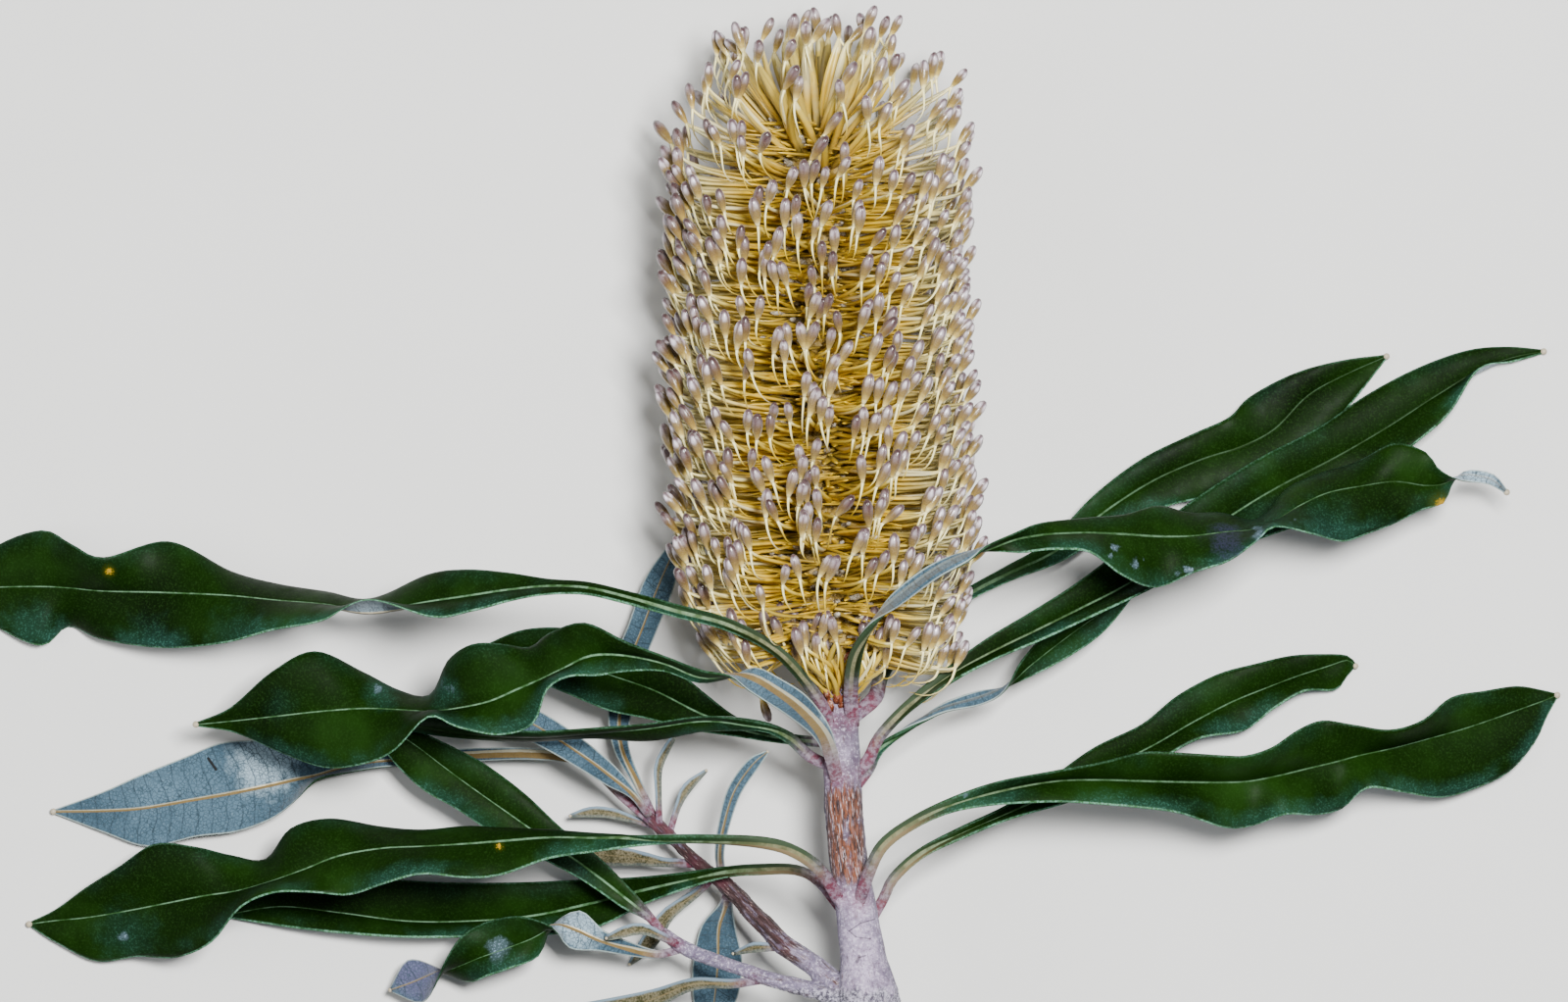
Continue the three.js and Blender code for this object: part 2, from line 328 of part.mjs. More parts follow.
// A round stalk of changing radius through points [Vector3], with one cross direction kept fixed
function stalk(points, radii, sides, across) {
  const rings = points.map((point, i) => {
    const before = points[Math.max(i - 1, 0)];
    const after = points[Math.min(i + 1, points.length - 1)];
    const along = after.clone().sub(before).normalize();
    const sideways = across.clone().sub(along.clone().multiplyScalar(across.dot(along))).normalize();
    const other = along.clone().cross(sideways);
    return Array.from({ length: sides }, (_, j) => {
      const turn = (2 * Math.PI * j) / sides + Math.PI / 2;
      return point
        .clone()
        .addScaledVector(sideways, radii[i] * Math.cos(turn))
        .addScaledVector(other, radii[i] * Math.sin(turn));
    });
  });
  return toSolid(skin(rings));
}

function branch(table, sides, grow) {
  const points = table.map(([x, y, z]) => new THREE.Vector3(x, y, z));
  const radii = table.map((row) => row[3] + grow);
  return stalk(points, radii, sides, new THREE.Vector3(0, 0, 1));
}

// The whole woody part: one growth, so one solid. With grow above 0 it is the cutter that seats leaves.
function woodyStem(grow = 0) {
  return wasm.Manifold.union([
    branch(STEM, SIDES.stem, grow),
    branch(UPPER_SHOOT, SIDES.shoot, grow),
    branch(LOWER_SHOOT, SIDES.shoot, grow),
  ]);
}

// Half the thickness of a leaf at a share of its length: a stout stalk that thins into the blade
function halfThickness(share, width) {
  const stout = Math.min(PETIOLE_HALF, Math.max(BLADE_HALF, STALK_SHARE * width));
  const thinned = THREE.MathUtils.smoothstep(share, THINNING.from, THINNING.to);
  return THREE.MathUtils.lerp(stout, BLADE_HALF, thinned);
}

// Which way a leaf grows across the spike's line: 1 to the right, -1 to the left
function handOf(stations) {
  return stations.at(-1)[0] < stations[0][0] ? -1 : 1;
}

// The rows of a leaf's middle surface, margin to margin, and the direction its upper face looks at each
function leafRows(stations) {
  const hand = handOf(stations);
  const ribs = stations.map(([x, y, z]) => new THREE.Vector3(x, y, z));
  const wide = stations.some((row) => Math.hypot(row[3], row[4]) > WIDE_BLADE);
  return stations.map(([, , , reachA, riseA, reachB, riseB], i) => {
    const along = ribs[Math.min(i + 1, ribs.length - 1)].clone().sub(ribs[Math.max(i - 1, 0)]);
    const side = new THREE.Vector3(-along.y, along.x, 0).normalize().multiplyScalar(hand);
    const rib = ribs[i];
    const marginA = rib.clone().addScaledVector(side, reachA).setZ(rib.z + riseA);
    const marginB = rib.clone().addScaledVector(side, -reachB).setZ(rib.z + riseB);
    const faceA = along.clone().cross(marginA.clone().sub(rib)).multiplyScalar(hand).normalize();
    const faceB = marginB.clone().sub(rib).cross(along).multiplyScalar(hand).normalize();
    const crown = (margin, face) =>
      rib.clone().lerp(margin, 0.5).addScaledVector(face, BLADE_CROWN * margin.distanceTo(rib));
    const faceRib = faceA.clone().add(faceB).normalize();
    const points = wide
      ? [marginA, crown(marginA, faceA), rib.clone(), crown(marginB, faceB), marginB]
      : [marginA, rib.clone(), marginB];
    const faces = wide ? [faceA, faceA, faceRib, faceB, faceB] : [faceA, faceRib, faceB];
    return { points, faces, width: Math.hypot(reachA, riseA) };
  });
}

// A leaf: its middle surface thickened both ways, never below the surface it lies on
function leafSolid(stations) {
  const rows = leafRows(stations);
  const rings = rows.map(({ points, faces, width }, i) => {
    const half = halfThickness(i / (rows.length - 1), width);
    points.forEach((point) => point.setZ(Math.max(point.z, half)));
    const upper = points.map((point, j) => point.clone().addScaledVector(faces[j], half));
    const lower = points.map((point, j) => point.clone().addScaledVector(faces[j], -half));
    return [...upper, ...lower.reverse()];
  });
  if (handOf(stations) < 0) rings.forEach((ring) => ring.reverse());
  return toSolid(leafSkin(rings));
}

// The skin of a leaf, with the quads of both faces split along the same diagonal
function leafSkin(rings) {
  const size = rings[0].length;
  const half = size / 2;
  const index = [];
  for (let i = 0; i < rings.length - 1; i++) {
    for (let j = 0; j < size; j++) {
      const a = i * size + j;
      const b = i * size + ((j + 1) % size);
      if (j < half) index.push(a, b, b + size, a, b + size, a + size);
      else index.push(a, b, a + size, b, b + size, a + size);
    }
  }
  const last = (rings.length - 1) * size;
  for (let j = 0; j < half - 1; j++) {
    const far = size - 1 - j;
    index.push(j, far, j + 1, j + 1, far, far - 1);
    index.push(last + j, last + j + 1, last + far, last + j + 1, last + far - 1, last + far);
  }
  return new THREE.BufferGeometry().setFromPoints(rings.flat()).setIndex(index);
}

// A small repeatable random source
function randomFrom(seed) {
  let state = seed;
  return () => {
    state = (state * 1664525 + 1013904223) % 4294967296;
    return state / 4294967296;
  };
}

// The point of the spike's axis at a height
function axisAt(height) {
  const above = CORE.findIndex((row) => row[1] >= height);
  const i = above < 0 ? CORE.length - 1 : Math.max(above, 1);
  const share = (height - CORE[i - 1][1]) / (CORE[i][1] - CORE[i - 1][1]);
  return THREE.MathUtils.lerp(CORE[i - 1][0], CORE[i][0], THREE.MathUtils.clamp(share, 0, 1));
}

// One floret's path, from its root in the axis to the tip of its bud, pressed flat under the spike
function floretPath(height, angle, tilt) {
  const { degToRad, smoothstep } = THREE.MathUtils;
  const crown = smoothstep(height, CROWN.from, CROWN.to);
  const skirt = smoothstep(-height, SKIRT.from, SKIRT.to);
  const outward = degToRad(CROWN.fan * crown - SKIRT.sag * skirt + tilt);
  const upturned = degToRad(FLORET.bend + CROWN.upright * crown + SKIRT.upright * skirt);
  const budTurn = upturned + degToRad(FLORET.lean);
  const reach = FLORET.reach - CROWN.shorter * crown ** 4 - SKIRT.shorter * skirt;
  const profile = [[FLORET.axis - FLORET.sunk, height - FLORET.sunk * Math.sin(outward)]];
  const step = (turn, length) => {
    const [r, h] = profile.at(-1);
    profile.push([r + length * Math.cos(turn), h + length * Math.sin(turn)]);
  };
  step(outward, FLORET.sunk + reach);
  step(upturned, FLORET.rise);
  step(budTurn, FLORET.bulge * FLORET.bud);
  step(budTurn, (1 - FLORET.bulge) * FLORET.bud);
  const lift = Math.sin(angle);
  const farthest = lift < 0 ? (AXIS_HEIGHT - FLORET.pressed) / -lift : Infinity;
  return profile.map(([r, h]) => {
    const out = Math.min(r, farthest);
    return new THREE.Vector3(axisAt(h) + out * Math.cos(angle), h, AXIS_HEIGHT + out * lift);
  });
}

// True when a floret would come too close to a leaf
function meetsLeaf(path, radii, leafPoints) {
  const foot = new THREE.Vector3();
  return radii.slice(1).some((radius, i) => {
    const piece = new THREE.Line3(path[i], path[i + 1]);
    const near = Math.max(radius, radii[i]) + PETIOLE_HALF + GAP;
    return leafPoints.some((point) => piece.closestPointToPoint(point, true, foot).distanceTo(point) < near);
  });
}

// Points all over the leaves where they pass through or beside the spike
function leafPointsBySpike() {
  const [low, high] = [SPIKE_REGION.low, SPIKE_REGION.high].map((corner) => new THREE.Vector3(...corner));
  const within = new THREE.Box3(low, high);
  const between = [0, 0.125, 0.25, 0.375, 0.5, 0.625, 0.75, 0.875];
  return Object.values(LEAVES).flatMap((stations) => {
    const rows = leafRows(stations);
    return rows.slice(1).flatMap(({ points }, i) =>
      points.flatMap((point, j) => between.map((share) => point.clone().lerp(rows[i].points[j], share))),
    );
  }).filter((point) => within.containsPoint(point));
}

// The spike: a core with hooked florets all round it, cut flat where it rests
function flowerSpike() {
  const random = randomFrom(7);
  const leafPoints = leafPointsBySpike();
  const pitch = (FLORET.highest - FLORET.lowest) / (FLORET_COUNT - 1);
  const restHeight = -FLORET.rise * Math.sin(THREE.MathUtils.degToRad(FLORET.bend)) - FLORET.bud / 2;
  const radii = [FLORET.thread, FLORET.thread, FLORET.thread, FLORET.budRadius, 0];
  const florets = [];
  for (let i = 0; i < FLORET_COUNT; i++) {
    const [up, round, tilt] = [random() - 0.5, random() - 0.5, random() - 0.5];
    const rests = i === REST_FLORET;
    const height = rests ? restHeight : FLORET.lowest + pitch * i + WOBBLE.height * up;
    const turn = (i - REST_FLORET) * GOLDEN_ANGLE - Math.PI / 2;
    const angle = rests ? turn : turn + WOBBLE.angle * round;
    const path = floretPath(height, angle, rests ? 0 : WOBBLE.tilt * tilt);
    if (meetsLeaf(path, radii, leafPoints)) continue;
    const across = new THREE.Vector3(-Math.sin(angle), 0, Math.cos(angle));
    florets.push(stalk(path, radii, SIDES.floret, across));
  }
  const core = branch(CORE, SIDES.core, 0);
  const underside = new THREE.BoxGeometry(GROUND.width, GROUND.length, GROUND.depth);
  underside.translate(0, 0, -GROUND.depth / 2);
  return largestBody(wasm.Manifold.union([core, ...florets]).subtract(toSolid(underside)));
}

function named(name, solid, look) {
  const mesh = new THREE.Mesh(toGeometry(solid), new THREE.MeshStandardMaterial(COLOURS[look]));
  mesh.name = name;
  return mesh;
}

const banksia = new THREE.Group();
banksia.add(named("woody_stem", woodyStem(), "stem"));
banksia.add(named("flower_spike", flowerSpike(), "spike"));
const seat = woodyStem(GAP);
for (const [name, stations] of Object.entries(LEAVES)) {
  banksia.add(named(name, largestBody(leafSolid(stations).subtract(seat)), "leaf"));
}

export default banksia;
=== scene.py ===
# %% [markdown]
# # A cut banksia stem
# One flowering stem of a banksia lies on a pale table, seen from straight above. It has three kinds of
# growth: a woody stem with two side shoots, long wavy leaves that are green above and pale beneath, and a
# spike of nearly nine hundred hooked florets. The imported solids give the place and the size of each. This
# script grows the fine form of each around them: it starts by loading those solids.

# %% Load the imported solids
import math

import bpy
import numpy as np
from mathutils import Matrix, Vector, kdtree, noise


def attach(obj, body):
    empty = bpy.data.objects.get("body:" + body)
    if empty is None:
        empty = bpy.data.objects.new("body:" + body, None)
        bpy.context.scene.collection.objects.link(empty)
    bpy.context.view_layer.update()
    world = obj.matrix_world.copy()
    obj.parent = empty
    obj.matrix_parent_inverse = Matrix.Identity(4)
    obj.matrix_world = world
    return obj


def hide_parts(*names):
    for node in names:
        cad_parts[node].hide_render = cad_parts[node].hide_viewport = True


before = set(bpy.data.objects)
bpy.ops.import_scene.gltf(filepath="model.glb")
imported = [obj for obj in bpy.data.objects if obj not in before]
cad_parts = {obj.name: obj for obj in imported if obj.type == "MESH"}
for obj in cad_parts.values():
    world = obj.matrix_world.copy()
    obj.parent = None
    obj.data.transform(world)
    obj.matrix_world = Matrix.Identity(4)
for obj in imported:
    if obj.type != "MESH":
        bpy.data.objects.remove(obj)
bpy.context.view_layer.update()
MM = 0.001
print("solids:", len(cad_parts))

# %% [markdown]
# ## Camera
# The picture looks at the flower square on, from a few steps away, so a long lens straight above the
# stem repeats it. The lens follows from how much of the table the picture spans.

# %% Camera straight above the stem
AXIS_HEIGHT = 31  # of the spike's axis above the table, in mm
PICTURE = {"centre": (-7, -32.2), "span": 320, "distance": 3000}
SENSOR = 36  # of the camera, in mm

bpy.ops.object.select_all(action="DESELECT")
eye_height = AXIS_HEIGHT + PICTURE["distance"]
bpy.ops.object.camera_add(location=Vector((*PICTURE["centre"], eye_height)) * MM, rotation=(0, 0, 0))
camera = bpy.context.object
camera.data.sensor_width = SENSOR
camera.data.lens = SENSOR * PICTURE["distance"] / PICTURE["span"]
bpy.context.scene.camera = camera
print("lens:", round(camera.data.lens, 1), "mm")

# %% [markdown]
# ## Skins rolled from a grid
# A leaf and the spike's woody axis are both closed skins that follow a line. Such a skin could be
# extruded ring by ring, but a leaf turns over along its length, and every ring then needs its own shape.
# So a grid primitive is laid out with one row of points for each ring, the rows are moved to their
# places, and the two long edges are merged. The ends are filled and the normals worked out again.


# %% Helpers for skins
def alone():
    """Deselects everything, so that the next operator acts on what it makes."""
    if bpy.context.object and bpy.context.object.mode != "OBJECT":
        bpy.ops.object.mode_set(mode="OBJECT")
    bpy.ops.object.select_all(action="DESELECT")


def rolled_skin(name, rings, attributes):
    """A grid rolled into a closed skin: rings are rows of points in mm, attributes one value a point."""
    alone()
    rows, around = rings.shape[:2]
    bpy.ops.mesh.primitive_grid_add(x_subdivisions=around, y_subdivisions=rows - 1)
    piece = bpy.context.object
    piece.name = name
    piece.data.name = name
    seamed = np.concatenate([rings, rings[:, :1]], axis=1)
    piece.data.vertices.foreach_set("co", (seamed * MM).ravel())
    for label, values in attributes.items():
        add_attribute(piece.data, label, np.concatenate([values, values[:, :1]], axis=1))
    return piece


def add_attribute(mesh, label, values):
    """A number or a vector for each point of a mesh."""
    vector = values.shape[-1] == 3
    layer = mesh.attributes.new(label, "FLOAT_VECTOR" if vector else "FLOAT", "POINT")
    layer.data.foreach_set("vector" if vector else "value", values.astype(np.float32).ravel())


def close_skin(piece):
    """Merges the seam, fills the ends and turns the faces outwards."""
    bpy.ops.object.mode_set(mode="EDIT")
    bpy.ops.mesh.select_all(action="SELECT")
    bpy.ops.mesh.remove_doubles(threshold=1e-7)
    bpy.ops.mesh.fill_holes(sides=0)
    bpy.ops.mesh.select_all(action="SELECT")
    bpy.ops.mesh.normals_make_consistent(inside=False)
    bpy.ops.object.mode_set(mode="OBJECT")
    bpy.ops.object.shade_smooth()


def grow_on(piece, slot, *nodes):
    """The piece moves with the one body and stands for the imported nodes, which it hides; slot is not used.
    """
    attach(piece, "root")
    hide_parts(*nodes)


# %% [markdown]
# ## The leaves' lines
# Each leaf is told by stations along its midrib: the rib's place, and for each margin how far it
# reaches sideways and how much it rises. A negative reach turns the blade over. The stations are the
# same as in the solids, where they were read from the picture; here smooth curves run through them.

# %% Stations of the leaves
# From the stem to the tip: the rib's x, y and z, then reach and rise of the margin nearer the spike's
# top, then of the other margin, all in mm. Four numbers stand for two level margins of equal reach.
LEAF_LINES = {
    "leaf_upper_left": [
        [2.6, -78.5, 33, 1.2], [0, -72.4, 38, 1.2], [-8, -63, 47, 1.2], [-18, -57.4, 54, 1.3],
        [-29, -54.4, 56, 1.4, 0, 1.3, 0], [-39, -51.8, 54, 1.4, -0.5, 1.2, 0.8],
        [-47, -50, 51, 1.4, -1, 1.2, 1.2], [-55, -49.6, 48, 1.6, -1.5, 1.6, 2],
        [-63, -50.4, 44.5, 3.8, -2, 2, 3.5], [-71, -51.6, 41, 5.6, -2, 2.8, 5],
        [-79, -52.8, 37, 5.8, -4, 2.8, 6.5], [-91.6, -54.8, 30, 2.8, -8, -2.8, 8],
        [-101, -53.4, 25.5, 2.8, -8.5, 3, 8], [-111, -52.6, 21, 3.6, -8, 5.8, 7],
        [-121, -51.6, 17, 5.2, -7, 9.6, 3.5], [-134, -51, 12, 10.6, -2, 11.4, 0],
        [-147, -50.6, 8, 6.6, 7, 10.2, -3], [-154, -50, 6, 8.8, 5, 8.2, -5],
        [-160, -49.8, 4, 11.6, 0, 12.2, 0], [-170, -50, 1.5, 8, -1, 8, 0], [-179, -50.8, 0.5, 0.4],
    ],
    "leaf_curled_left": [
        [4, -90, 33, -1.3], [2.6, -84, 38, -1.5, 0.2, -1.5, 0.2], [0.6, -79, 43.5, -2, 0.5, -2, 0.5],
        [-4, -74, 49, -2.8, 1, -2.8, 0.5], [-9, -70.4, 53, -3, 1.5, -2.6, 0],
        [-13.6, -68, 55, -2.6, 2.2, -2.2, -1.5], [-18, -67.6, 55.5, 0, 3.2, 0.4, -2.6],
        [-24, -67.6, 55, 1.2, 2.6, 1.4, -1.5], [-31, -65, 53.5, 1.2, 3, 1.8, 0],
        [-39, -63.4, 51, 2.4, 4, 3.4, 1], [-46, -63.6, 48.5, 6.8, 2, 4, 3],
        [-51.4, -66.2, 46, 8, -2, 1.5, 6], [-56, -68.4, 44, 7.2, -5, 2, 6],
        [-61, -70.4, 42, 10, -2, 7.6, 3], [-67, -73, 39.5, 12.2, 0, 7, 4], [-74, -74.6, 37, 10, -3, 3.4, 7],
        [-79.4, -75.2, 34.5, 3.6, -7, 0.6, 8.5], [-86, -74.8, 32, 4.2, -8, 8, 5],
        [-93, -74.6, 29, 7.6, -6, 11.2, 2], [-102, -75.2, 26, 12.4, -1, 11.6, -1],
        [-111, -76.2, 23, 9, 2, 7.6, -2], [-120, -77.2, 20, 2.8, 1, 2.4, -1], [-127.6, -78, 17, 0.4],
    ],
    "leaf_edge_on_left": [
        [3, -86.5, 31, 1.2], [-1.8, -84.2, 33, 1.2], [-6, -80.4, 36, 1.2],
        [-12, -77.8, 38, 0.8, 1, 1.2, -0.5], [-23, -76.8, 38.5, 0.8, 2, 2.5, -3.5],
        [-35, -78.4, 36, 0.8, 3, 3, -5], [-47, -79.6, 32, 0.8, 5, 1, -6], [-59, -80.4, 28, 1, 6, 0.8, -7],
        [-71, -79.8, 24, 1.5, 6, 1, -6.5], [-81, -78.4, 21, 2, 4, 1.5, -4], [-89, -77.2, 19, 0.4],
    ],
    "leaf_behind_left": [
        [5, -81.5, 28, 1.1], [-0.4, -81.4, 25, 1.1], [-9, -80.4, 25, 1.2], [-17, -78.4, 24.5, 2, 1, 2, 0],
        [-24.6, -75.4, 23, 4, 1, 4, 0], [-33, -71.2, 20.5, 6, 1, 6, 0], [-41, -68.4, 18, 7, 1, 7, 1],
        [-51, -65.4, 15, 7, 2, 6, 2], [-61, -63.6, 12, 5, 2, 4, 1], [-70, -62.8, 9.5, 0.4],
    ],
    "leaf_lower_left": [
        [4.5, -114, 33.5, 1.3], [0.6, -107.6, 39, 1.3], [-4.6, -103.6, 43, 1.3],
        [-11, -101.6, 45.5, 1.2, 0.6, 1.2, -0.6], [-23, -100.8, 45.5, 0.8, 1.2, 0.8, -1],
        [-35, -101, 43.5, 0.9, 0.6, 1.2, 0.4], [-45, -100.8, 41, 1, -2.5, 2.6, 2],
        [-55, -100.8, 38, 1.8, -3.5, 4, 3], [-65, -101.6, 35, 3, -5, 6.6, 3],
        [-72, -102.2, 33, 3.8, -6.5, 6.6, 5], [-81, -102.8, 30.5, 3.6, -8, 5.2, 6],
        [-89, -103.2, 28, 4.6, -8, 6.8, 5], [-98, -104.8, 25, 8, -5, 8, 4],
        [-105, -107.6, 22.5, 9, -3, 4.6, 7], [-112, -110.2, 20, 5, -7, 1.8, 9],
        [-119, -112.2, 17.5, 7.6, -5, 3, 8.5], [-126, -113.2, 14.5, 10.2, 0, 9.4, 4],
        [-134, -114.8, 11, 12.4, 2, 11.4, 0], [-142, -116.4, 7.5, 9.2, 3, 9.8, -2],
        [-150, -117.8, 4.5, 6, 2, 9.4, -2], [-157, -118.6, 2, 2.2, 0, 5, 0], [-162.6, -119.4, 0.6, 0.4],
    ],
    "leaf_under_left": [
        [5, -116, 28, 1.1], [0.2, -110, 27.5, 1.1], [-4.6, -107.6, 25.5, 1.1], [-12, -107.6, 22.5, 1.2],
        [-19, -108.2, 19.5, 1.2], [-28, -110.2, 14, 1.8, 1, 1.8, 1], [-37, -112.4, 9, 3, 1, 3, 1],
        [-47, -115, 6, 5, 1.5, 5, 1.5], [-59, -117.6, 4.5, 7, 2, 4, 2], [-72, -118.8, 3.5, 8, 2, 2.8, 5],
        [-85, -118.8, 3, 8.5, 1, 2.8, 6], [-99, -117, 2.5, 8, 0, 3.8, 4], [-111, -115.8, 1.8, 5, 0, 3.8, 2],
        [-122.6, -117.6, 1, 0.4],
    ],
    "leaf_upper_right": [
        [7, -78, 33, 1.4], [6.6, -71, 37.5, 1.5], [7.6, -63.6, 45, 1.4],
        [10.6, -57.6, 52.5, 0.3, 1.4, 0.3, -1.4], [15.4, -52.4, 58, -1.4],
        [23, -46.6, 60.5, -1.6, 0.3, -1.6, 0.3], [30, -43.4, 60, -1, 1.2, -1, -1.2],
        [34, -41.8, 59, 0.5, 1.8, 0.6, -1.2], [40, -39.8, 57, 1.2, 2.2, 3, 1],
        [44, -39.3, 55.6, 2.4, 0.4, 2.9, 2.6], [48, -39, 54, 2.8, -2, 2.8, 4],
        [55, -38.8, 51, 3.4, -3, 3.6, 5], [62, -39, 47.5, 4.2, -3, 8.2, 3],
        [69, -39.4, 44, 6.4, -4, 10.4, 0], [76, -39.4, 40.5, 5, -5, 7.2, 5],
        [83, -38.6, 37, 4.2, -7, 5.6, 7], [88.6, -38.2, 34.5, 2.2, -8.5, 2, 8.5],
        [92.6, -36.8, 32.5, 2.5, -8.5, 0.4, 9], [98, -33.4, 30, 4.5, -7, 6.2, 5],
        [104, -30.6, 27.5, 4.5, -6, 10.4, 0], [111, -29.2, 25, 5.2, -5, 9.8, 0],
        [118, -28.2, 22.5, 7.8, 0, 8.6, 0], [124, -29, 20.5, 6.8, 1.6, 5, 1],
        [127.4, -28.8, 19.6, 3.4, 3.2, 4, 0.2], [129.4, -28, 19.4, 1, 3, 1.2, -1.6],
        [131.4, -27.4, 19.2, -0.6, 1.8, -0.4, -1.6], [133.6, -27, 19, -1.3, 0.8, -1.2, -0.2],
        [138, -27.8, 18, -1.2], [141.2, -30.4, 16.5, -0.4],
    ],
    "leaf_back_right": [
        [7.5, -76, 28, 1.5], [11.6, -72.4, 24.5, 1.6], [13, -68, 18, 1.5], [16, -64, 12.5, 1.3],
        [22, -58.4, 8.5, 1.2], [30, -52, 7, 1.3], [39, -47.2, 6.5, 1.6], [49, -42.4, 6, 2.5, 1, 2.5, 1],
        [59, -34.4, 5.5, 4, 1, 4, 1], [69, -28, 5, 5, 1, 6, 1], [79, -23.6, 4.5, 5.5, 1, 8, 1],
        [87, -21, 4, 6.4, 2, 9, 1], [94, -17.4, 3.5, 8.4, 0, 9, 1], [101, -10.4, 3, 5.4, 1, 8, 1],
        [109, -6, 2.2, 3, 1, 5, 1], [117.2, -2.4, 1.2, 0.4],
    ],
    "leaf_long_right": [
        [7, -88.5, 31, 1.3], [10.2, -85, 31.5, 1.3], [12.4, -80.4, 32, 1.2], [18, -74.4, 32, 1.2],
        [26, -68.4, 31, 1.6, 0.8, 1.4, 1], [35, -63.4, 29, 3, 1, 1.4, 3], [45, -58.6, 26.5, 4, 1, 1.8, 4],
        [54, -54.2, 24, 5, 1, 2, 5], [63, -49.6, 21, 6.5, 1, 2.4, 6], [74, -42.6, 17, 7, 1, 4, 5],
        [86, -34.4, 13, 7, 2, 7, 2], [95, -29, 11, 7, 2, 9, 1], [106, -23.4, 8.5, 7, 1, 9, 0],
        [117, -17.2, 6.5, 8, 0, 6, 4], [127, -10.8, 4.5, 7, 0, 4.4, 4], [136, -5.6, 3, 5, 0, -0.6, 4],
        [143, -2.8, 2, 2.5, 0, 0.8, 1], [149.6, -1.4, 1, 0.4],
    ],
    "leaf_short_right": [
        [7, -91.5, 28, 1.1], [10.4, -87, 26.5, 1.1], [12.4, -83, 26, 1.1],
        [18, -79, 24.5, 0.2, 1.1, 0.2, -1.1], [22, -76.6, 23.3, -0.5, 1, -0.5, -0.8],
        [26, -74.4, 22, -1, 0.6, -1, 0.2], [33, -72.4, 20, -1.6, 0.6, -1.4, 0.2],
        [38, -70.8, 18, -0.4, 1.6, -0.4, -1.6], [43, -66.4, 15, 2, 1, 2, 0], [50, -61, 12, 3.5, 1, 3.5, 1],
        [57, -56, 10, 3.5, 1, 3.5, 0], [65, -51, 8.5, 0.4],
    ],
    "leaf_lower_right": [
        [8, -115, 33.5, 1.3], [10, -108.6, 37.5, 1.3], [13, -102.4, 40, 1.3], [19, -97.8, 41, 1.3],
        [27, -94, 40, 1.4, 0.6, 1.6, 0.4], [37, -91.2, 37.5, 2, 2, 2.8, 1.5],
        [48, -89.2, 34, 1.8, 4, 4.2, 3], [57, -89, 31, 3.2, 5, 4.8, 4], [66, -89.4, 28, 5.8, 4, 5.2, 5],
        [74, -89.6, 25.5, 5.8, 5, 6.2, 5], [83, -89.6, 23, 5.2, 7, 9.4, 1],
        [88, -89.4, 21.5, 5, 8, 9.4, -1], [94, -88.4, 20, 5.8, 8, 8, 4], [100, -87, 18, 8, 6, 9.8, 0],
        [105.4, -85.8, 16.5, 8.8, 4, 9.8, -2], [111, -84.4, 14.5, 6.4, 7, 6.6, 6],
        [118, -82.8, 12.5, 3.6, 9, 9.4, 2], [125, -81, 10, 3.8, 9, 12.6, -2],
        [132, -79.2, 7.5, 6.8, 5, 12.6, -2], [139, -77, 5, 6, 2, 11.4, -1],
        [145.4, -74.8, 2.8, 4.8, 0, 7.4, 0], [149.4, -73.4, 1.6, 2.6, 0, 3, 0], [152.4, -72.2, 0.8, 0.4],
    ],
    "leaf_under_right": [
        [9.5, -120, 28.5, 1.1], [13.2, -113.6, 28, 1.1], [15.4, -109.2, 27.5, 1.1], [21, -104.2, 26.5, 1.1],
        [29, -100.2, 24, 1.2, 0.8, 1.2, 0.6], [39, -96, 20.5, 1.6, 1.5, 1.4, 1],
        [49, -91.6, 16.5, 3, 1, 3, 1], [59, -87.2, 13, 5, 1, 4, 1], [69, -82.4, 10, 5, 1, 3, 3],
        [77, -77.8, 8, 6.4, 1, 3.4, 3], [85, -73.6, 6, 6.4, 1, 6.4, 1], [92, -70.8, 4.8, 5.4, 2, 4.4, 3],
        [99, -68.2, 3.6, 4.4, 1, 3.2, 3], [105, -66.2, 2.6, 2.6, 1, 5.2, 0], [109, -65, 1.8, 1, 0, 3.4, 0],
        [110.8, -66.2, 1, 0.4],
    ],
    # Leaves of the upper shoot
    "leaf_pale_underside": [
        [-35, -97.6, 9, -0.8], [-39.4, -93.6, 10, -1], [-48, -86, 10.5, -1.1], [-58, -84.2, 9, -1.2],
        [-71, -84.4, 7, -1.4], [-81, -85.2, 6, -1.5, 0.5, -1.6, 0], [-90, -85.8, 5.5, -1.2, 1.5, -2.5, 2],
        [-98, -87.4, 5, -1, 4, -6, 2], [-103.4, -89, 4.5, -0.8, 6, -8, 1],
        [-107, -89.6, 4.2, -3.5, 5, -9, 0], [-113, -90.8, 3.8, -6.6, 2, -9.6, 0],
        [-121, -92.4, 3.2, -8, 1, -10.6, 0], [-129, -93.8, 2.6, -7.6, 2, -9, 1],
        [-139, -95.4, 2, -8, 0, -6.8, 2], [-147, -96, 1.5, -4.6, 0, -4, 0], [-157.6, -96.2, 0.8, -0.4],
    ],
    "leaf_shoot_wide": [
        [-34.8, -96.8, 10, -0.8], [-38, -92.4, 14.5, -0.9], [-42, -89, 17, -2], [-47, -85.2, 18.5, -2.6],
        [-53, -81.2, 18.5, -3], [-59, -77.6, 17.5, -3.4, 0, -3, 0], [-66, -74.4, 15.5, -3, 0, -2.6, 0],
        [-73, -72.4, 13, -0.4],
    ],
    "leaf_shoot_upright": [
        [-33.8, -97, 9.2, -0.8], [-37.2, -90, 9.6, -1], [-40.4, -83, 9.5, -1.6], [-40.8, -76, 8.5, -2.4],
        [-39, -66, 7, -3], [-36, -58, 6, -3], [-33, -50, 5, -3.2], [-30.2, -43.6, 4, -2],
        [-28.6, -39.6, 3.2, -0.4],
    ],
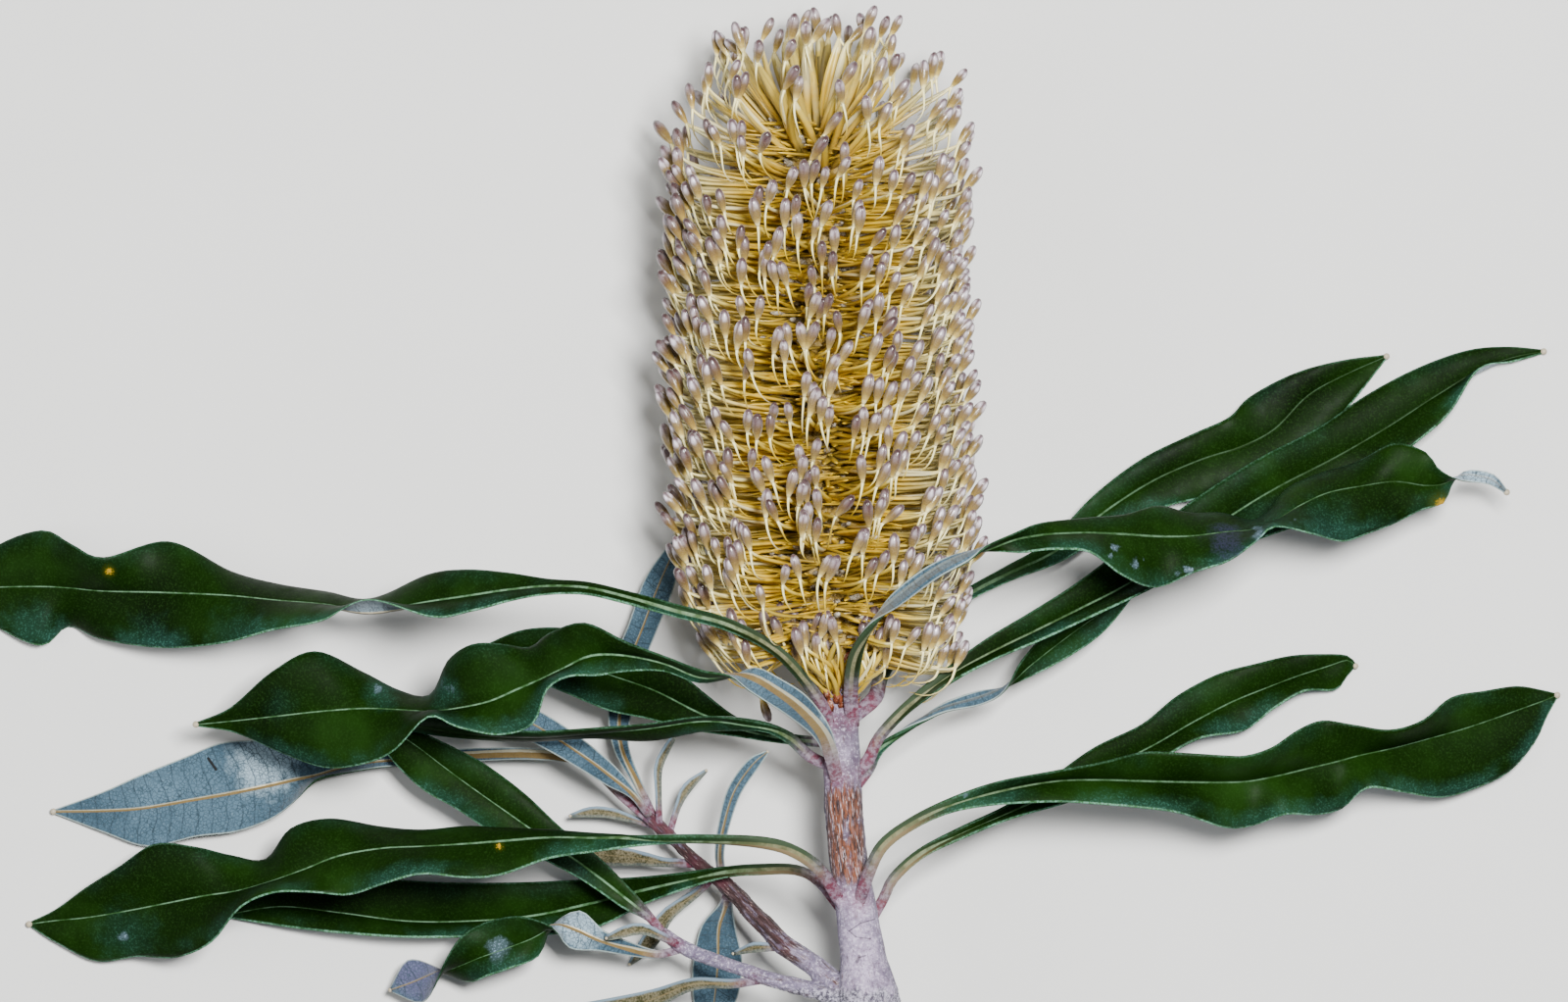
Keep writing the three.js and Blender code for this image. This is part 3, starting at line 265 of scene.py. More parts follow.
    "leaf_shoot_narrow": [
        [-32.6, -99, 9.6, 0.7], [-32.8, -92, 12.6, 0.7], [-32.8, -87, 14, 0.9], [-31.4, -83.6, 15, 0.9],
        [-29, -79.6, 15.5, 0.4],
    ],
    "leaf_shoot_spur": [
        [-30.6, -100.8, 9.4, 0.7], [-28.8, -95, 9.5, 0.7], [-26.8, -91, 9.5, 1.1], [-23, -87.6, 9, 0.4],
    ],
    "leaf_shoot_side": [
        [-32.4, -99.4, 9.2, 0.7], [-37, -98, 7.4, 0.7], [-42.6, -96.4, 6.6, 1.1], [-47, -96.2, 5.8, 1.1],
        [-51, -97, 5, 0.4],
    ],
    "leaf_shoot_middle": [
        [-24.4, -106.8, 10.8, 0.8], [-28, -106.6, 9.6, 0.9], [-32, -106.4, 9, 1, 0.3, 1, 0.3],
        [-37, -105.6, 8.4, 1.6], [-46, -104.8, 7, 2.2], [-55, -104.4, 5.5, 0.4],
    ],
    "leaf_shoot_tall": [
        [-19.6, -110.6, 13, -0.8], [-20, -107.4, 14.8, -0.9], [-20.2, -104, 18, -1], [-19.4, -99, 22, -1.2],
        [-17.2, -91.6, 26, -1.5], [-13.4, -86, 28.6, -1.4], [-10.4, -83.4, 29.6, -0.4],
    ],
    "leaf_shoot_drooping": [
        [-21.6, -109.4, 11.6, 0.8], [-24.8, -112.6, 7.4, 0.9], [-30.6, -117, 5, 1.4], [-33.4, -121, 4, 1.8],
        [-36, -124.4, 3, 1.5], [-38.8, -127.6, 2, 0.4],
    ],
    "leaf_shoot_hanging": [
        [-18.4, -111.8, 12.4, -0.9], [-19, -115.4, 7.4, -1.5], [-20.4, -120, 4.5, -3.6],
        [-20.6, -126, 2.5, -5, 0.6, -5, 0.6], [-21, -132, 1.5, -5, 0.6, -5, 0.6], [-21.8, -138, 1, -3.5],
        [-22.6, -142.4, 0.8, -0.4],
    ],
    "leaf_shoot_basal": [
        [-5, -124, 21.8, 0.7], [-9, -123.6, 20.4, 0.8], [-13, -123.6, 19.4, 1.1], [-17.4, -125, 15, 0.4],
    ],
    # Leaves of the lower shoot
    "leaf_diagonal": [
        [-31.6, -121.2, 13.4, 0.9], [-34.6, -117.6, 14, 1], [-39, -114, 15, 2, 0.5, 2, 0.5],
        [-47, -107.8, 15.5, 3.3, 0.5, 2.6, 0.5], [-55, -102.2, 15.5, 3.8, 0.5, 3.8, 0.5],
        [-63, -96.6, 15, 5.2, 0.5, 5.2, 0], [-71, -91, 14, 5.5, 0.5, 5.5, 0],
        [-77, -86.6, 13, 4.5, 1, 6.4, 0], [-82, -82.8, 12, 3.2, 1, 6, 0],
        [-87, -79.6, 11, 2.5, 0.5, 4.4, 0], [-92.6, -77, 10, 0.4],
    ],
    "leaf_twisted_low": [
        [-28, -124, 15, -0.9], [-33, -125.2, 14, -0.9], [-39, -124, 14, -1.5],
        [-44.6, -122.4, 14.5, -2.2, 0.5, -2.2, 0.5], [-50, -120, 15, -4, 0.5, -4, 0.5],
        [-54.6, -119.6, 15, 0, 5, 0, -4.5], [-59, -122, 14.5, 5, 2, 4, -1], [-65, -124.4, 13, 6.5, 0, 4, 2],
        [-69.6, -126, 12.2, 6, 1.5, 4, 1.6], [-72.6, -127.2, 11.2, 4.6, 3.8, 4.2, -1],
        [-75.2, -128.2, 10, 2.4, 5, 2.6, -3.8], [-77.4, -129, 9, 0, 5.2, 0, -4.6],
        [-79.6, -129.8, 8, -2.6, 4.2, -2.6, -3.4], [-81.8, -130.6, 7, -4.4, 2, -4.4, -1.6],
        [-84, -131.4, 6, -4.2, 0.5, -4.2, 0], [-88, -132.8, 4.6, -0.4],
    ],
    "leaf_recurved": [
        [-28.4, -123.4, 15.6, 0.8], [-32, -121.4, 18.8, 0.9], [-36, -119.8, 19.6, 1.2],
        [-39.6, -120.4, 18.6, 1.2], [-43.4, -121.8, 16.8, 0.6],
    ],
    "leaf_low_trailing": [
        [-11, -130, 23, 0.9], [-17.4, -131, 20.4, 1], [-25.4, -131.2, 15.6, 1.3], [-33.6, -134.4, 10, 2],
        [-43, -138, 5.5, 3.5, 0.5, 3.5, 0.5], [-53, -141, 3, 4.5, 1, 4.5, 0.5], [-63, -142.4, 2, 3.5],
        [-71, -143, 1, 0.4],
    ],
}


def full(station):
    """All seven numbers of a station."""
    return station if len(station) == 7 else [*station, 0, station[3], 0]


LEAVES = {name: [full(station) for station in stations] for name, stations in LEAF_LINES.items()}
print("leaves:", len(LEAVES))


# %% [markdown]
# ## Smooth rows
# A leaf bends without corners, so its stations alone are too few. A curve object could run through them,
# but it carries only a place, a width and a twist. A Catmull-Rom formula takes rows of any length, so it
# gives the place of the rib and of both margins at once, at short and nearly even steps.


# %% Smooth rows through the stations
def unit(vectors):
    return vectors / np.maximum(np.linalg.norm(vectors, axis=-1, keepdims=True), 1e-9)


def smooth(low, high, values):
    share = np.clip((np.asarray(values, float) - low) / (high - low), 0, 1)
    return share * share * (3 - 2 * share)


def runs(points):
    """The direction of a line of points at each point."""
    return points[np.minimum(np.arange(len(points)) + 1, len(points) - 1)] - points[
        np.maximum(np.arange(len(points)) - 1, 0)
    ]


def smooth_rows(table, spacing):
    """Rows on a Catmull-Rom curve through the rows of a table whose first three columns are a place."""
    padded = np.vstack([2 * table[0] - table[1], table, 2 * table[-1] - table[-2]])
    rows = []
    for before, start, end, after in zip(padded, padded[1:], padded[2:], padded[3:]):
        steps = max(2, round(np.linalg.norm(end[:3] - start[:3]) / spacing))
        for t in np.arange(steps) / steps:
            bend = 2 * before - 5 * start + 4 * end - after
            twist = 3 * start - before - 3 * end + after
            rows.append(start + 0.5 * ((end - before) * t + bend * t**2 + twist * t**3))
    return np.array([*rows, table[-1]])


print("a smooth step:", smooth(0, 1, [0, 0.25, 0.5, 0.75, 1]))


# %% [markdown]
# ## Shape of a blade
# A banksia leaf is thick and leathery: its half blades bulge a little between rib and margin, the margin
# curls under, and the midrib is a narrow groove above and a raised cord beneath. Near the stem the blade
# narrows into a stout stalk. The section is worked out for each row, with more points near the rib.

# %% Section of a leaf
ROW_SPACING = 1.6  # between rows along a leaf, in mm
BLADE_HALF = 0.22  # half the thickness of a blade
STALK_HALF = 0.75  # half the thickness of a stout stalk
BULGE = 0.24  # how far a half blade rises between rib and margin
ROLL = 0.3  # how far the margin curls under, in mm
KEEL = {"height": 0.55, "width": 0.5, "tip": 0.35}  # of the midrib beneath; tip is its share there
GROOVE = {"depth": 0.1, "width": 0.35}  # of the midrib above
WIDE = (2.5, 5)  # a half blade starts to bulge and curl between these widths
TABLE_GAP = 0.05  # between the table and what lies on it
OUTER_SHARES = np.array([0, 0.2, 0.42, 0.66, 0.88, 1])


def half_blade(offset, face, face_rib, along_share, stalky):
    """Upper and lower points of one half blade, from rib to margin, their distances and its width."""
    width = np.linalg.norm(offset, axis=1)[:, None]
    near_rib = np.clip(0.5 / width, 0.1, 0.4)
    shares = np.hstack([np.zeros_like(width), near_rib / 2, near_rib + (1 - near_rib) * OUTER_SHARES])
    reach = shares * width
    turn = smooth(0, 0.35, shares)[..., None]
    direction = unit(face_rib[:, None] * (1 - turn) + face[:, None] * turn)
    wide = smooth(*WIDE, width)
    lift = wide * (BULGE * reach * (1 - shares) - ROLL * shares**8)
    middle = offset[:, None] * shares[..., None] + direction * lift[..., None]
    stout = np.clip(0.62 * width, BLADE_HALF, STALK_HALF) * np.sqrt(1 - 0.94 * shares**2)
    blade = BLADE_HALF * (1 - 0.5 * shares**8)
    keel = KEEL["height"] * (1 - (1 - KEEL["tip"]) * along_share[:, None])
    keel = keel * np.exp(-((reach / KEEL["width"]) ** 2))
    groove = GROOVE["depth"] * np.exp(-((reach / GROOVE["width"]) ** 2))
    above = stalky[:, None] * stout + (1 - stalky[:, None]) * (blade - groove)
    below = stalky[:, None] * stout + (1 - stalky[:, None]) * (blade + keel)
    upper = middle + direction * above[..., None]
    lower = middle - direction * below[..., None]
    return upper, lower, reach, width


# %% [markdown]
# ## Rows of a leaf
# The smooth rows give the rib and both margins. From them follows which way the upper face of each half
# looks, also where the leaf lies on its back: it is square to the rib and to the half blade.


# %% Rows of a leaf
def leaf_rows(stations):
    """The rib and both margins of a leaf as smooth rows, with the way each half's upper face looks."""
    table = np.array(stations, float)
    rib = table[:, :3]
    hand = -1 if rib[-1, 0] < rib[0, 0] else 1
    flow = runs(rib)
    side = unit(np.stack([-flow[:, 1], flow[:, 0], 0 * flow[:, 0]], axis=1)) * hand
    margin_a = side * table[:, 3:4] + [0, 0, 1] * table[:, 4:5]
    margin_b = -side * table[:, 5:6] + [0, 0, 1] * table[:, 6:7]
    rows = smooth_rows(np.hstack([rib, margin_a, margin_b]), ROW_SPACING)
    rib, margin_a, margin_b = rows[:, :3], rows[:, 3:6], rows[:, 6:]
    flow = unit(runs(rib))
    face_a = unit(np.cross(flow, margin_a)) * hand
    face_b = unit(np.cross(margin_b, flow)) * hand
    return rib, margin_a, margin_b, face_a, face_b


print("rows in the longest leaf:", max(len(leaf_rows(stations)[0]) for stations in LEAVES.values()))


# %% [markdown]
# ## Leaves
# Each leaf is one closed skin with two finishes: its upper face and its underside. Every point keeps its
# distance along the leaf, across from the rib and in from the margin, so that the veins and the rib
# can follow the leaf however it twists.


# %% Grow a leaf
YOUNG = ("leaf_shoot_", "leaf_recurved", "leaf_low_trailing")  # leaves with felt above as well
STALK = {"narrow": (1.5, 3.4), "share": (0.2, 0.42)}  # it ends between these widths and lengths
FULL_LENGTH = 120  # of a leaf whose rib and pink foot have their full size, in mm
PINK_REACH = 16  # of the pink foot of such a leaf
RIB_WIDTHS = ([0, 0.2, 0.6, 1], [1.05, 0.56, 0.27, 0.16])  # at shares of the length, half widths in mm


def both_halves(first, second):
    """Rows from margin to margin, out of two that run from the rib to a margin."""
    return np.concatenate([first[:, ::-1], second[:, 1:]], axis=1)


def leaf_skin(name, stations):
    rib, margin_a, margin_b, face_a, face_b = leaf_rows(stations)
    along = np.concatenate([[0], np.cumsum(np.linalg.norm(np.diff(rib, axis=0), axis=1))])
    share = along / along[-1]
    narrow = (np.linalg.norm(margin_a, axis=1) + np.linalg.norm(margin_b, axis=1)) / 2
    stalky = (1 - smooth(*STALK["narrow"], narrow)) * (1 - smooth(*STALK["share"], share))
    face_rib = unit(face_a + face_b)
    upper_a, lower_a, across_a, width_a = half_blade(margin_a, face_a, face_rib, share, stalky)
    upper_b, lower_b, across_b, width_b = half_blade(margin_b, face_b, face_rib, share, stalky)
    upper = both_halves(upper_a, upper_b)
    lower = both_halves(lower_a, lower_b)
    points = np.concatenate([upper, lower[:, ::-1]], axis=1) + rib[:, None]
    points[..., 2] = np.maximum(points[..., 2], TABLE_GAP)
    across = both_halves(across_a, -across_b)
    inset = both_halves(width_a - across_a, width_b - across_b)
    place = np.stack([np.broadcast_to(along[:, None], across.shape), across, inset], axis=-1)
    place = np.concatenate([place, place[:, ::-1]], axis=1)
    build = np.clip(along[-1] / FULL_LENGTH, 0.45, 1)
    attributes = {"place": place}
    lengthwise = {
        "young": np.full_like(share, name.startswith(YOUNG)),
        "pink": 1 - smooth(0.3, 1.0, along / (PINK_REACH * build)),
        "rib": build * np.interp(share, *RIB_WIDTHS),
    }
    for label, row in lengthwise.items():
        attributes[label] = np.broadcast_to(row[:, None, None], (*place.shape[:2], 1))
    return rolled_skin(name, points, attributes), upper.shape[1]


def give_faces(piece, columns):
    """The first finish goes to the upper face and the rolled edges, the second to the underside."""
    stride = 2 * columns + 1
    corners = np.array([face.vertices[:] for face in piece.data.polygons]) % stride
    beneath = (corners.min(axis=1) >= columns) & (corners.max(axis=1) < 2 * columns)
    piece.data.materials.append(FINISHES["leaf_upper"])
    piece.data.materials.append(FINISHES["leaf_underside"])
    piece.data.polygons.foreach_set("material_index", beneath.astype(np.int32))


print("leaves felted above:", sum(name.startswith(YOUNG) for name in LEAVES))


# %% [markdown]
# ## Writing shader maths
# The finishes are worked out by formulas: a vein is a repeating distance, a rib is a narrow band. Nodes
# can be linked one by one, but formulas read better as Python, so a small class wraps a socket and turns
# +, - and * into Math nodes. Anything else comes from one method that takes a node's type, its settings
# and its inputs. Colours are written as they look on a screen and turned into what a shader takes.


# %% Sockets that can be added
class Value:
    """A socket that can be added, multiplied and so on."""

    def __init__(self, recipe, socket):
        self.recipe = recipe
        self.socket = socket

    def maths(self, operation, *values):
        return self.recipe.node("ShaderNodeMath", {"operation": operation}, dict(enumerate(values)))

    def __add__(self, other):
        return self.maths("ADD", self, other)

    def __sub__(self, other):
        return self.maths("SUBTRACT", self, other)

    def __rsub__(self, other):
        return self.maths("SUBTRACT", other, self)

    def __mul__(self, other):
        return self.maths("MULTIPLY", self, other)

    def __abs__(self):
        return self.maths("ABSOLUTE", self)

    __radd__ = __add__
    __rmul__ = __mul__

    def clamped(self):
        """The value kept from 0 to 1."""
        return self.maths("MINIMUM", self.maths("MAXIMUM", self, 0.0), 1.0)


# %% A material's recipe
class Recipe:
    """One material and the nodes that work out its colour, gloss and relief."""

    def __init__(self, name):
        self.material = bpy.data.materials.new(name)
        self.material.use_nodes = True
        self.tree = self.material.node_tree
        self.surface = self.tree.nodes["Principled BSDF"]

    def node(self, kind, settings, inputs, output=0):
        """A new node: its settings come first, then the values or links of its sockets."""
        made = self.tree.nodes.new(kind)
        for label, setting in settings.items():
            if label == "stops":
                set_stops(made.color_ramp, setting)
            else:
                setattr(made, label, setting)
        for label, value in inputs.items():
            self.feed(made.inputs[label], value)
        return Value(self, made.outputs[output])

    def feed(self, socket, value):
        if isinstance(value, Value):
            self.tree.links.new(value.socket, socket)
        else:
            socket.default_value = paint(*value) if socket.type == "RGBA" else value

    def finish(self, **sockets):
        """Feeds the surface shader; a name's underscores stand for spaces."""
        for label, value in sockets.items():
            self.feed(self.surface.inputs[label.replace("_", " ")], value)
        return self.material

    def attribute(self, label, output="Fac"):
        return self.node("ShaderNodeAttribute", {"attribute_name": label}, {}, output)

    def split(self, vector):
        """A vector's x, y and z."""
        node = self.node("ShaderNodeSeparateXYZ", {}, {"Vector": vector}).socket.node
        return [Value(self, socket) for socket in node.outputs]

    def join(self, x, y, z):
        return self.node("ShaderNodeCombineXYZ", {}, {"X": x, "Y": y, "Z": z})

    def place(self):
        """Object coordinates in mm."""
        metres = self.node("ShaderNodeTexCoord", {}, {}, "Object")
        inputs = {"Vector": metres, "Scale": 1 / MM}
        return self.node("ShaderNodeVectorMath", {"operation": "SCALE"}, inputs)

    def clouds(self, vector, size, detail=3.0, roughness=0.55):
        """Noise from 0 to 1 with features of about size mm."""
        inputs = {"Vector": vector, "Scale": 1 / size, "Detail": detail, "Roughness": roughness}
        return self.node("ShaderNodeTexNoise", {}, inputs)

    def cells(self, vector, size):
        """The distance to the nearest border between cells of about size mm."""
        inputs = {"Vector": vector, "Scale": 1 / size}
        return self.node("ShaderNodeTexVoronoi", {"feature": "DISTANCE_TO_EDGE"}, inputs)

    def band(self, value, low, high, start=0.0, end=1.0):
        """A smooth step from start, at low, to end, at high."""
        inputs = {"Value": value, "From Min": low, "From Max": high, "To Min": start, "To Max": end}
        return self.node("ShaderNodeMapRange", {"interpolation_type": "SMOOTHSTEP"}, inputs)

    def mix(self, share, first, second):
        """The first colour where the share is 0, the second where it is 1."""
        return self.node("ShaderNodeMix", {"data_type": "RGBA"}, {0: share, 6: first, 7: second}, 2)

    def layers(self, colour, *coats):
        """A colour under coats of (share, colour), each laid over the ones before it."""
        for share, coat in coats:
            colour = self.mix(share, colour, coat)
        return colour

    def ramp(self, value, *stops):
        """Colours at stops from 0 to 1, blended between them."""
        return self.node("ShaderNodeValToRGB", {"stops": stops}, {"Fac": value})

    def relief(self, height, strength=1.0):
        """A bump from a height in mm."""
        inputs = {"Height": height, "Strength": strength, "Distance": MM}
        return self.node("ShaderNodeBump", {}, inputs)


# %% Colours
def paint(*screen):
    """A colour as a shader takes it, from its red, green and blue on a screen."""
    shares = [value / 255 for value in screen]
    linear = [((share + 0.055) / 1.055) ** 2.4 if share > 0.04 else share / 12.92 for share in shares]
    return (*linear, 1.0)


def set_stops(ramp, stops):
    """Puts colours on a ramp; stops are (position, (red, green, blue))."""
    while len(ramp.elements) < len(stops):
        ramp.elements.new(0.5)
    for element, (position, colour) in zip(ramp.elements, stops):
        element.position = position
        element.color = paint(*colour)


FINISHES = {}
print("middle grey of a screen in a shader:", round(paint(128, 128, 128)[0], 3))


# %% [markdown]
# ## The upper face of a leaf
# It is a dark and rather matt green. The rib is a thin pale line, another pale line runs along the lower
# margin, and many fine side veins run out at a slant. Patches of blue-green bloom, pale scars, a grey
# patch and a few yellow spots lie in places of their own. A picture could be wrapped round the leaf, but
# formulas stay sharp from close by. The veins, for one, are a repeating distance along the leaf that
# falls back with the distance from the rib.

# %% Marks on the leaves
VEIN = {"spacing": 0.55, "slant": 0.5}
SPOTS = [(-145.6, -46.6, 0.8), (-65, -102.4, 0.6), (127.8, -33, 1.6)]  # yellow: x, y, radius in mm
BLOOMS = [  # soft blue-green patches: x, y, radius and strength
    (-162, -59, 8, 0.9), (-119, -61, 9, 0.6), (-137, -62.5, 9, 0.6), (-76.3, -71, 5, 1.0),
    (-89, -71, 5, 0.9), (92, -38, 9, 0.5), (104, -38, 9, 0.6), (30, -91, 5, 0.5),
    (-142, -122, 9, 0.6), (-110, -74, 5, 0.3),
]
FLECKS = [  # small pale scars: x, y and radius
    (60, -41.4, 0.7), (59, -43, 0.5), (64.7, -45.2, 1.1), (66, -44.2, 0.6), (72.7, -46.8, 0.9),
    (75, -46, 0.7), (97, -36, 0.8), (89.7, -38.4, 1.4), (-75.5, -70.6, 1.0), (-89.6, -70.4, 0.8),
    (-143, -121.5, 1.0), (30, -92, 0.7), (-65.6, -124.2, 2.6), (-81, -67, 1.6),
]
GREY_PATCH = (83, -40.5, 5)  # a violet-grey scar: x, y and radius
print("marks:", len(SPOTS), "spots,", len(BLOOMS), "patches of bloom,", len(FLECKS), "scars")


# %% [markdown]
# ## Where a mark lies
# A mark is given by its place on the table, seen from above. Its share falls off with the distance from
# there, and noise added to that distance makes its edge ragged.


# %% Where a mark lies
def distance(recipe, where, x, y):
    """Distance from a point of the table, seen from above."""
    flat = recipe.join(*recipe.split(where)[:2], 0.0)
    return recipe.node("ShaderNodeVectorMath", {"operation": "DISTANCE"}, {0: flat, 1: (x, y, 0)}, "Value")


def stroke(recipe, where, start, end, width):
    """1 on a thin mark between two points of the table, seen from above."""
    x, y = recipe.split(where)[:2]
    run = (end[0] - start[0], end[1] - start[1])
    length = math.hypot(*run)
    x, y = x - start[0], y - start[1]
    share = (x * (run[0] / length**2) + y * (run[1] / length**2)).clamped()
    x, y = x - share * run[0], y - share * run[1]
    return recipe.band(x * x + y * y, width**2 * 0.4, width**2, 1.0, 0.0)


# %% [markdown]
# ## The foot of a leaf
# A leaf's stalk is crimson where it leaves the stem, under a broken lilac felt. A coarse noise wears the
# felt off in patches, and a fine one breaks up what is left.


# %% Colour of a stalk
def stalk_colour(recipe, where, pink):
    """Crimson wood under a broken lilac felt."""
    band = recipe.band
    felt = recipe.clouds(where, 1.1, 5.0, 0.72)
    worn = recipe.clouds(where, 3.4, 4.0, 0.6)
    bare = band(worn + (pink - 0.8) * 0.26, 0.4, 0.6, 0.0, 0.8) * band(felt, 0.36, 0.6, 1.0, 0.45)
    specks = band(recipe.clouds(where, 0.5, 2.0), 0.66, 0.72, 0.0, 0.7)
    lilac = recipe.mix(band(felt, 0.38, 0.62), (84, 66, 78), (134, 122, 136))
    return recipe.layers(lilac, (bare, (98, 38, 54)), (specks, (70, 34, 44)))


# %% [markdown]
# ## The green of the blade
# The colours are laid like coats of paint: a cloudy dark green first, then veins, bloom, the pale margin,
# the scars, the grey patch and the yellow spots. Each coat is a share from 0 to 1 and a colour.


# %% Green of the blade
def blade_green(recipe, where, place, fine, grit):
    """The green of the blade with its veins, bloom, pale margin, scars and spots."""
    band = recipe.band
    along, across, inset = place
    dots = band(grit, 0.5, 0.66)
    lower = band(across, -0.4, 0.4, 1.0, 0.0)
    slanted = along - abs(across) * VEIN["slant"] + fine * 2.4
    veins = band(slanted.maths("PINGPONG", slanted, VEIN["spacing"]), 0.02, 0.17, 1.0, 0.0)
    flush = band(inset + (fine - 0.5) * 4, 0.0, 4.5, 0.75, 0.0) * (lower * 0.75 + 0.25)
    bloom = flush * band(recipe.clouds(where, 22), 0.42, 0.58)
    for x, y, radius, strength in BLOOMS:
        reach = distance(recipe, where, x, y) + (fine - 0.5) * radius
        bloom = bloom + band(reach, 0.0, radius, strength * 0.7, 0.0)
    bloom = bloom.clamped() * (dots * 0.6 + 0.3)
    edge = 1 - band(inset, 0.1, 0.42)
    edge = edge * band(fine, 0.38, 0.56, 0.4, 1.0) * (lower * 0.7 + 0.22)
    scar = 0.0
    for x, y, radius in FLECKS:
        reach = distance(recipe, where, x, y) + (fine - 0.5) * 5
        scar = band(reach, radius * 0.1, radius * 1.2, 0.8, 0.0) + scar
    grey_x, grey_y, radius = GREY_PATCH
    grey = distance(recipe, where, grey_x, grey_y) + (fine - 0.5) * 9
    grey = band(grey, 1.0, radius, 1.0, 0.0) * band(grit, 0.4, 0.56, 0.25, 0.8)
    shades = ((0.3, (4, 15, 1)), (0.52, (9, 28, 2)), (0.72, (20, 46, 8)))
    green = recipe.layers(
        recipe.ramp(recipe.clouds(where, 20, 4.0), *shades),
        (veins * 0.06, (34, 60, 20)),
        (dots * 0.3, (34, 62, 22)),
        (bloom * 0.85, (50, 92, 82)),
        (edge, recipe.mix(band(grit, 0.4, 0.6), (58, 96, 58), (104, 150, 128))),
        (scar.clamped() * (dots * 0.7 + 0.25), (124, 146, 166)),
        (grey, (38, 40, 58)),
    )
    for x, y, radius in SPOTS:
        reach = distance(recipe, where, x, y) + (grit - 0.5) * 2.4
        halo = band(reach, 0.0, radius * 2.4, 0.6, 0.0)
        heart = band(reach, radius * 0.2, radius * 1.1, 0.9, 0.0)
        green = recipe.layers(green, (halo, (62, 66, 10)), (heart, (168, 132, 30)))
    return green, bloom


# %% [markdown]
# ## The whole upper face
# Over the green go felt, rib and stalk. Most small leaves of the shoots are young and still felted above.
# The stalks are dark green, with a painted highlight in grey-green on the side towards the spike's top
# and a tan side on the lowest leaves. An attribute says how wide the rib is, so one formula serves its
# thin end and the stout stalk.


# %% Upper face
def upper_face():
    recipe = Recipe("leaf_upper")
    mix, band = recipe.mix, recipe.band
    where = recipe.place()
    x, y = recipe.split(where)[:2]
    place = recipe.split(recipe.attribute("place", "Vector"))
    across, inset = place[1:]
    fine = recipe.clouds(where, 3.2, 4.0)
    grit = recipe.clouds(where, 0.45, 3.0, 0.7)
    green, bloom = blade_green(recipe, where, place, fine, grit)
    lower = band(across, -0.4, 0.4, 1.0, 0.0)
    young = recipe.attribute("young")
    felt = mix(band(grit + (fine - 0.5) * 0.5, 0.35, 0.65), (58, 56, 36), (116, 108, 86))
    rim = band(inset + (fine - 0.5) * 0.6, 0.3, 0.8, 0.9, 0.0) * (1 - lower * 0.8)
    half = recipe.attribute("rib")
    stalky = band(half, 0.4, 0.8)
    rib = band(abs(across) - half * (0.85 - stalky * 0.3), -0.16, 0.04, 1.0, 0.0)
    pale = band(fine, 0.35, 0.6)
    rib_colour = recipe.layers(
        mix(pale, (50, 80, 44), (96, 130, 100)),
        (band(x, 0, 40, 0.0, 0.45), (30, 50, 22)),
        (band(y, -34, -26, 0.0, 0.6), (26, 40, 16)),
        (stalky, mix(pale, (82, 84, 58), (116, 114, 86))),
        (young * 0.8, (118, 98, 72)),
    )
    tanned = band(y, -100, -94, 1.0, 0.0) * band(x, -36, -28)  # 1 on the lowest leaves near the stem
    # painted highlight: the stalk is lighter grey-green on the side towards the spike's top, dark green on
    # the other
    stalk_with_highlight = mix(tanned * lower, mix(lower, (58, 70, 52), (28, 36, 16)), (126, 108, 80))
    pink = recipe.attribute("pink")
    colour = recipe.layers(
        green,
        (young * 0.85, mix(rim, felt, (120, 140, 156))),
        (band(half, 0.5, 0.8, 0.0, 0.8), stalk_with_highlight),
        (rib * band(grit, 0.3, 0.55, 0.55, 1.0), rib_colour),
        (pink, stalk_colour(recipe, where, pink)),
    )
    return recipe.finish(
        Base_Color=colour,
        Roughness=band(fine + bloom, 0.3, 0.9, 0.42, 0.6),
        Normal=recipe.relief(fine * 0.06 + grit * 0.03 - rib * 0.05, 0.7),
        Specular_IOR_Level=0.03,
    )


FINISHES["leaf_upper"] = upper_face()
print("nodes of the upper face:", len(FINISHES["leaf_upper"].node_tree.nodes))


# %% [markdown]
# ## The underside of a leaf
# It wears a blue-grey felt, whiter in a few patches, partly as paler felt and partly as painted light, and
# lilac in one, and one leaf has a slit in it. The midrib is a tan cord with a painted highlight in cream
# along one side, which the felt nearly hides on the leaves to the right. Side veins and a fine net between
# them show through: cells of a Voronoi pattern, laid along the side veins, give that net.


# %% Underside
# whiter patches of the underside, in part paler felt and in part painted light
WHITER_FELT_AND_LIGHT = [  # where the felt is whiter: x, y and radius
    (-114, -86, 9), (-91.6, -53.6, 5), (-77, -77, 4), (134, -28, 7), (4, -74, 5), (-49, -119, 7),
    (136, -6, 6),
]
LILAC_FELT = (-81, -128, 9)
SLIT = ((-125.6, -85.2), (-124, -87.5), 0.34)  # start, end and width of a slit in the felt


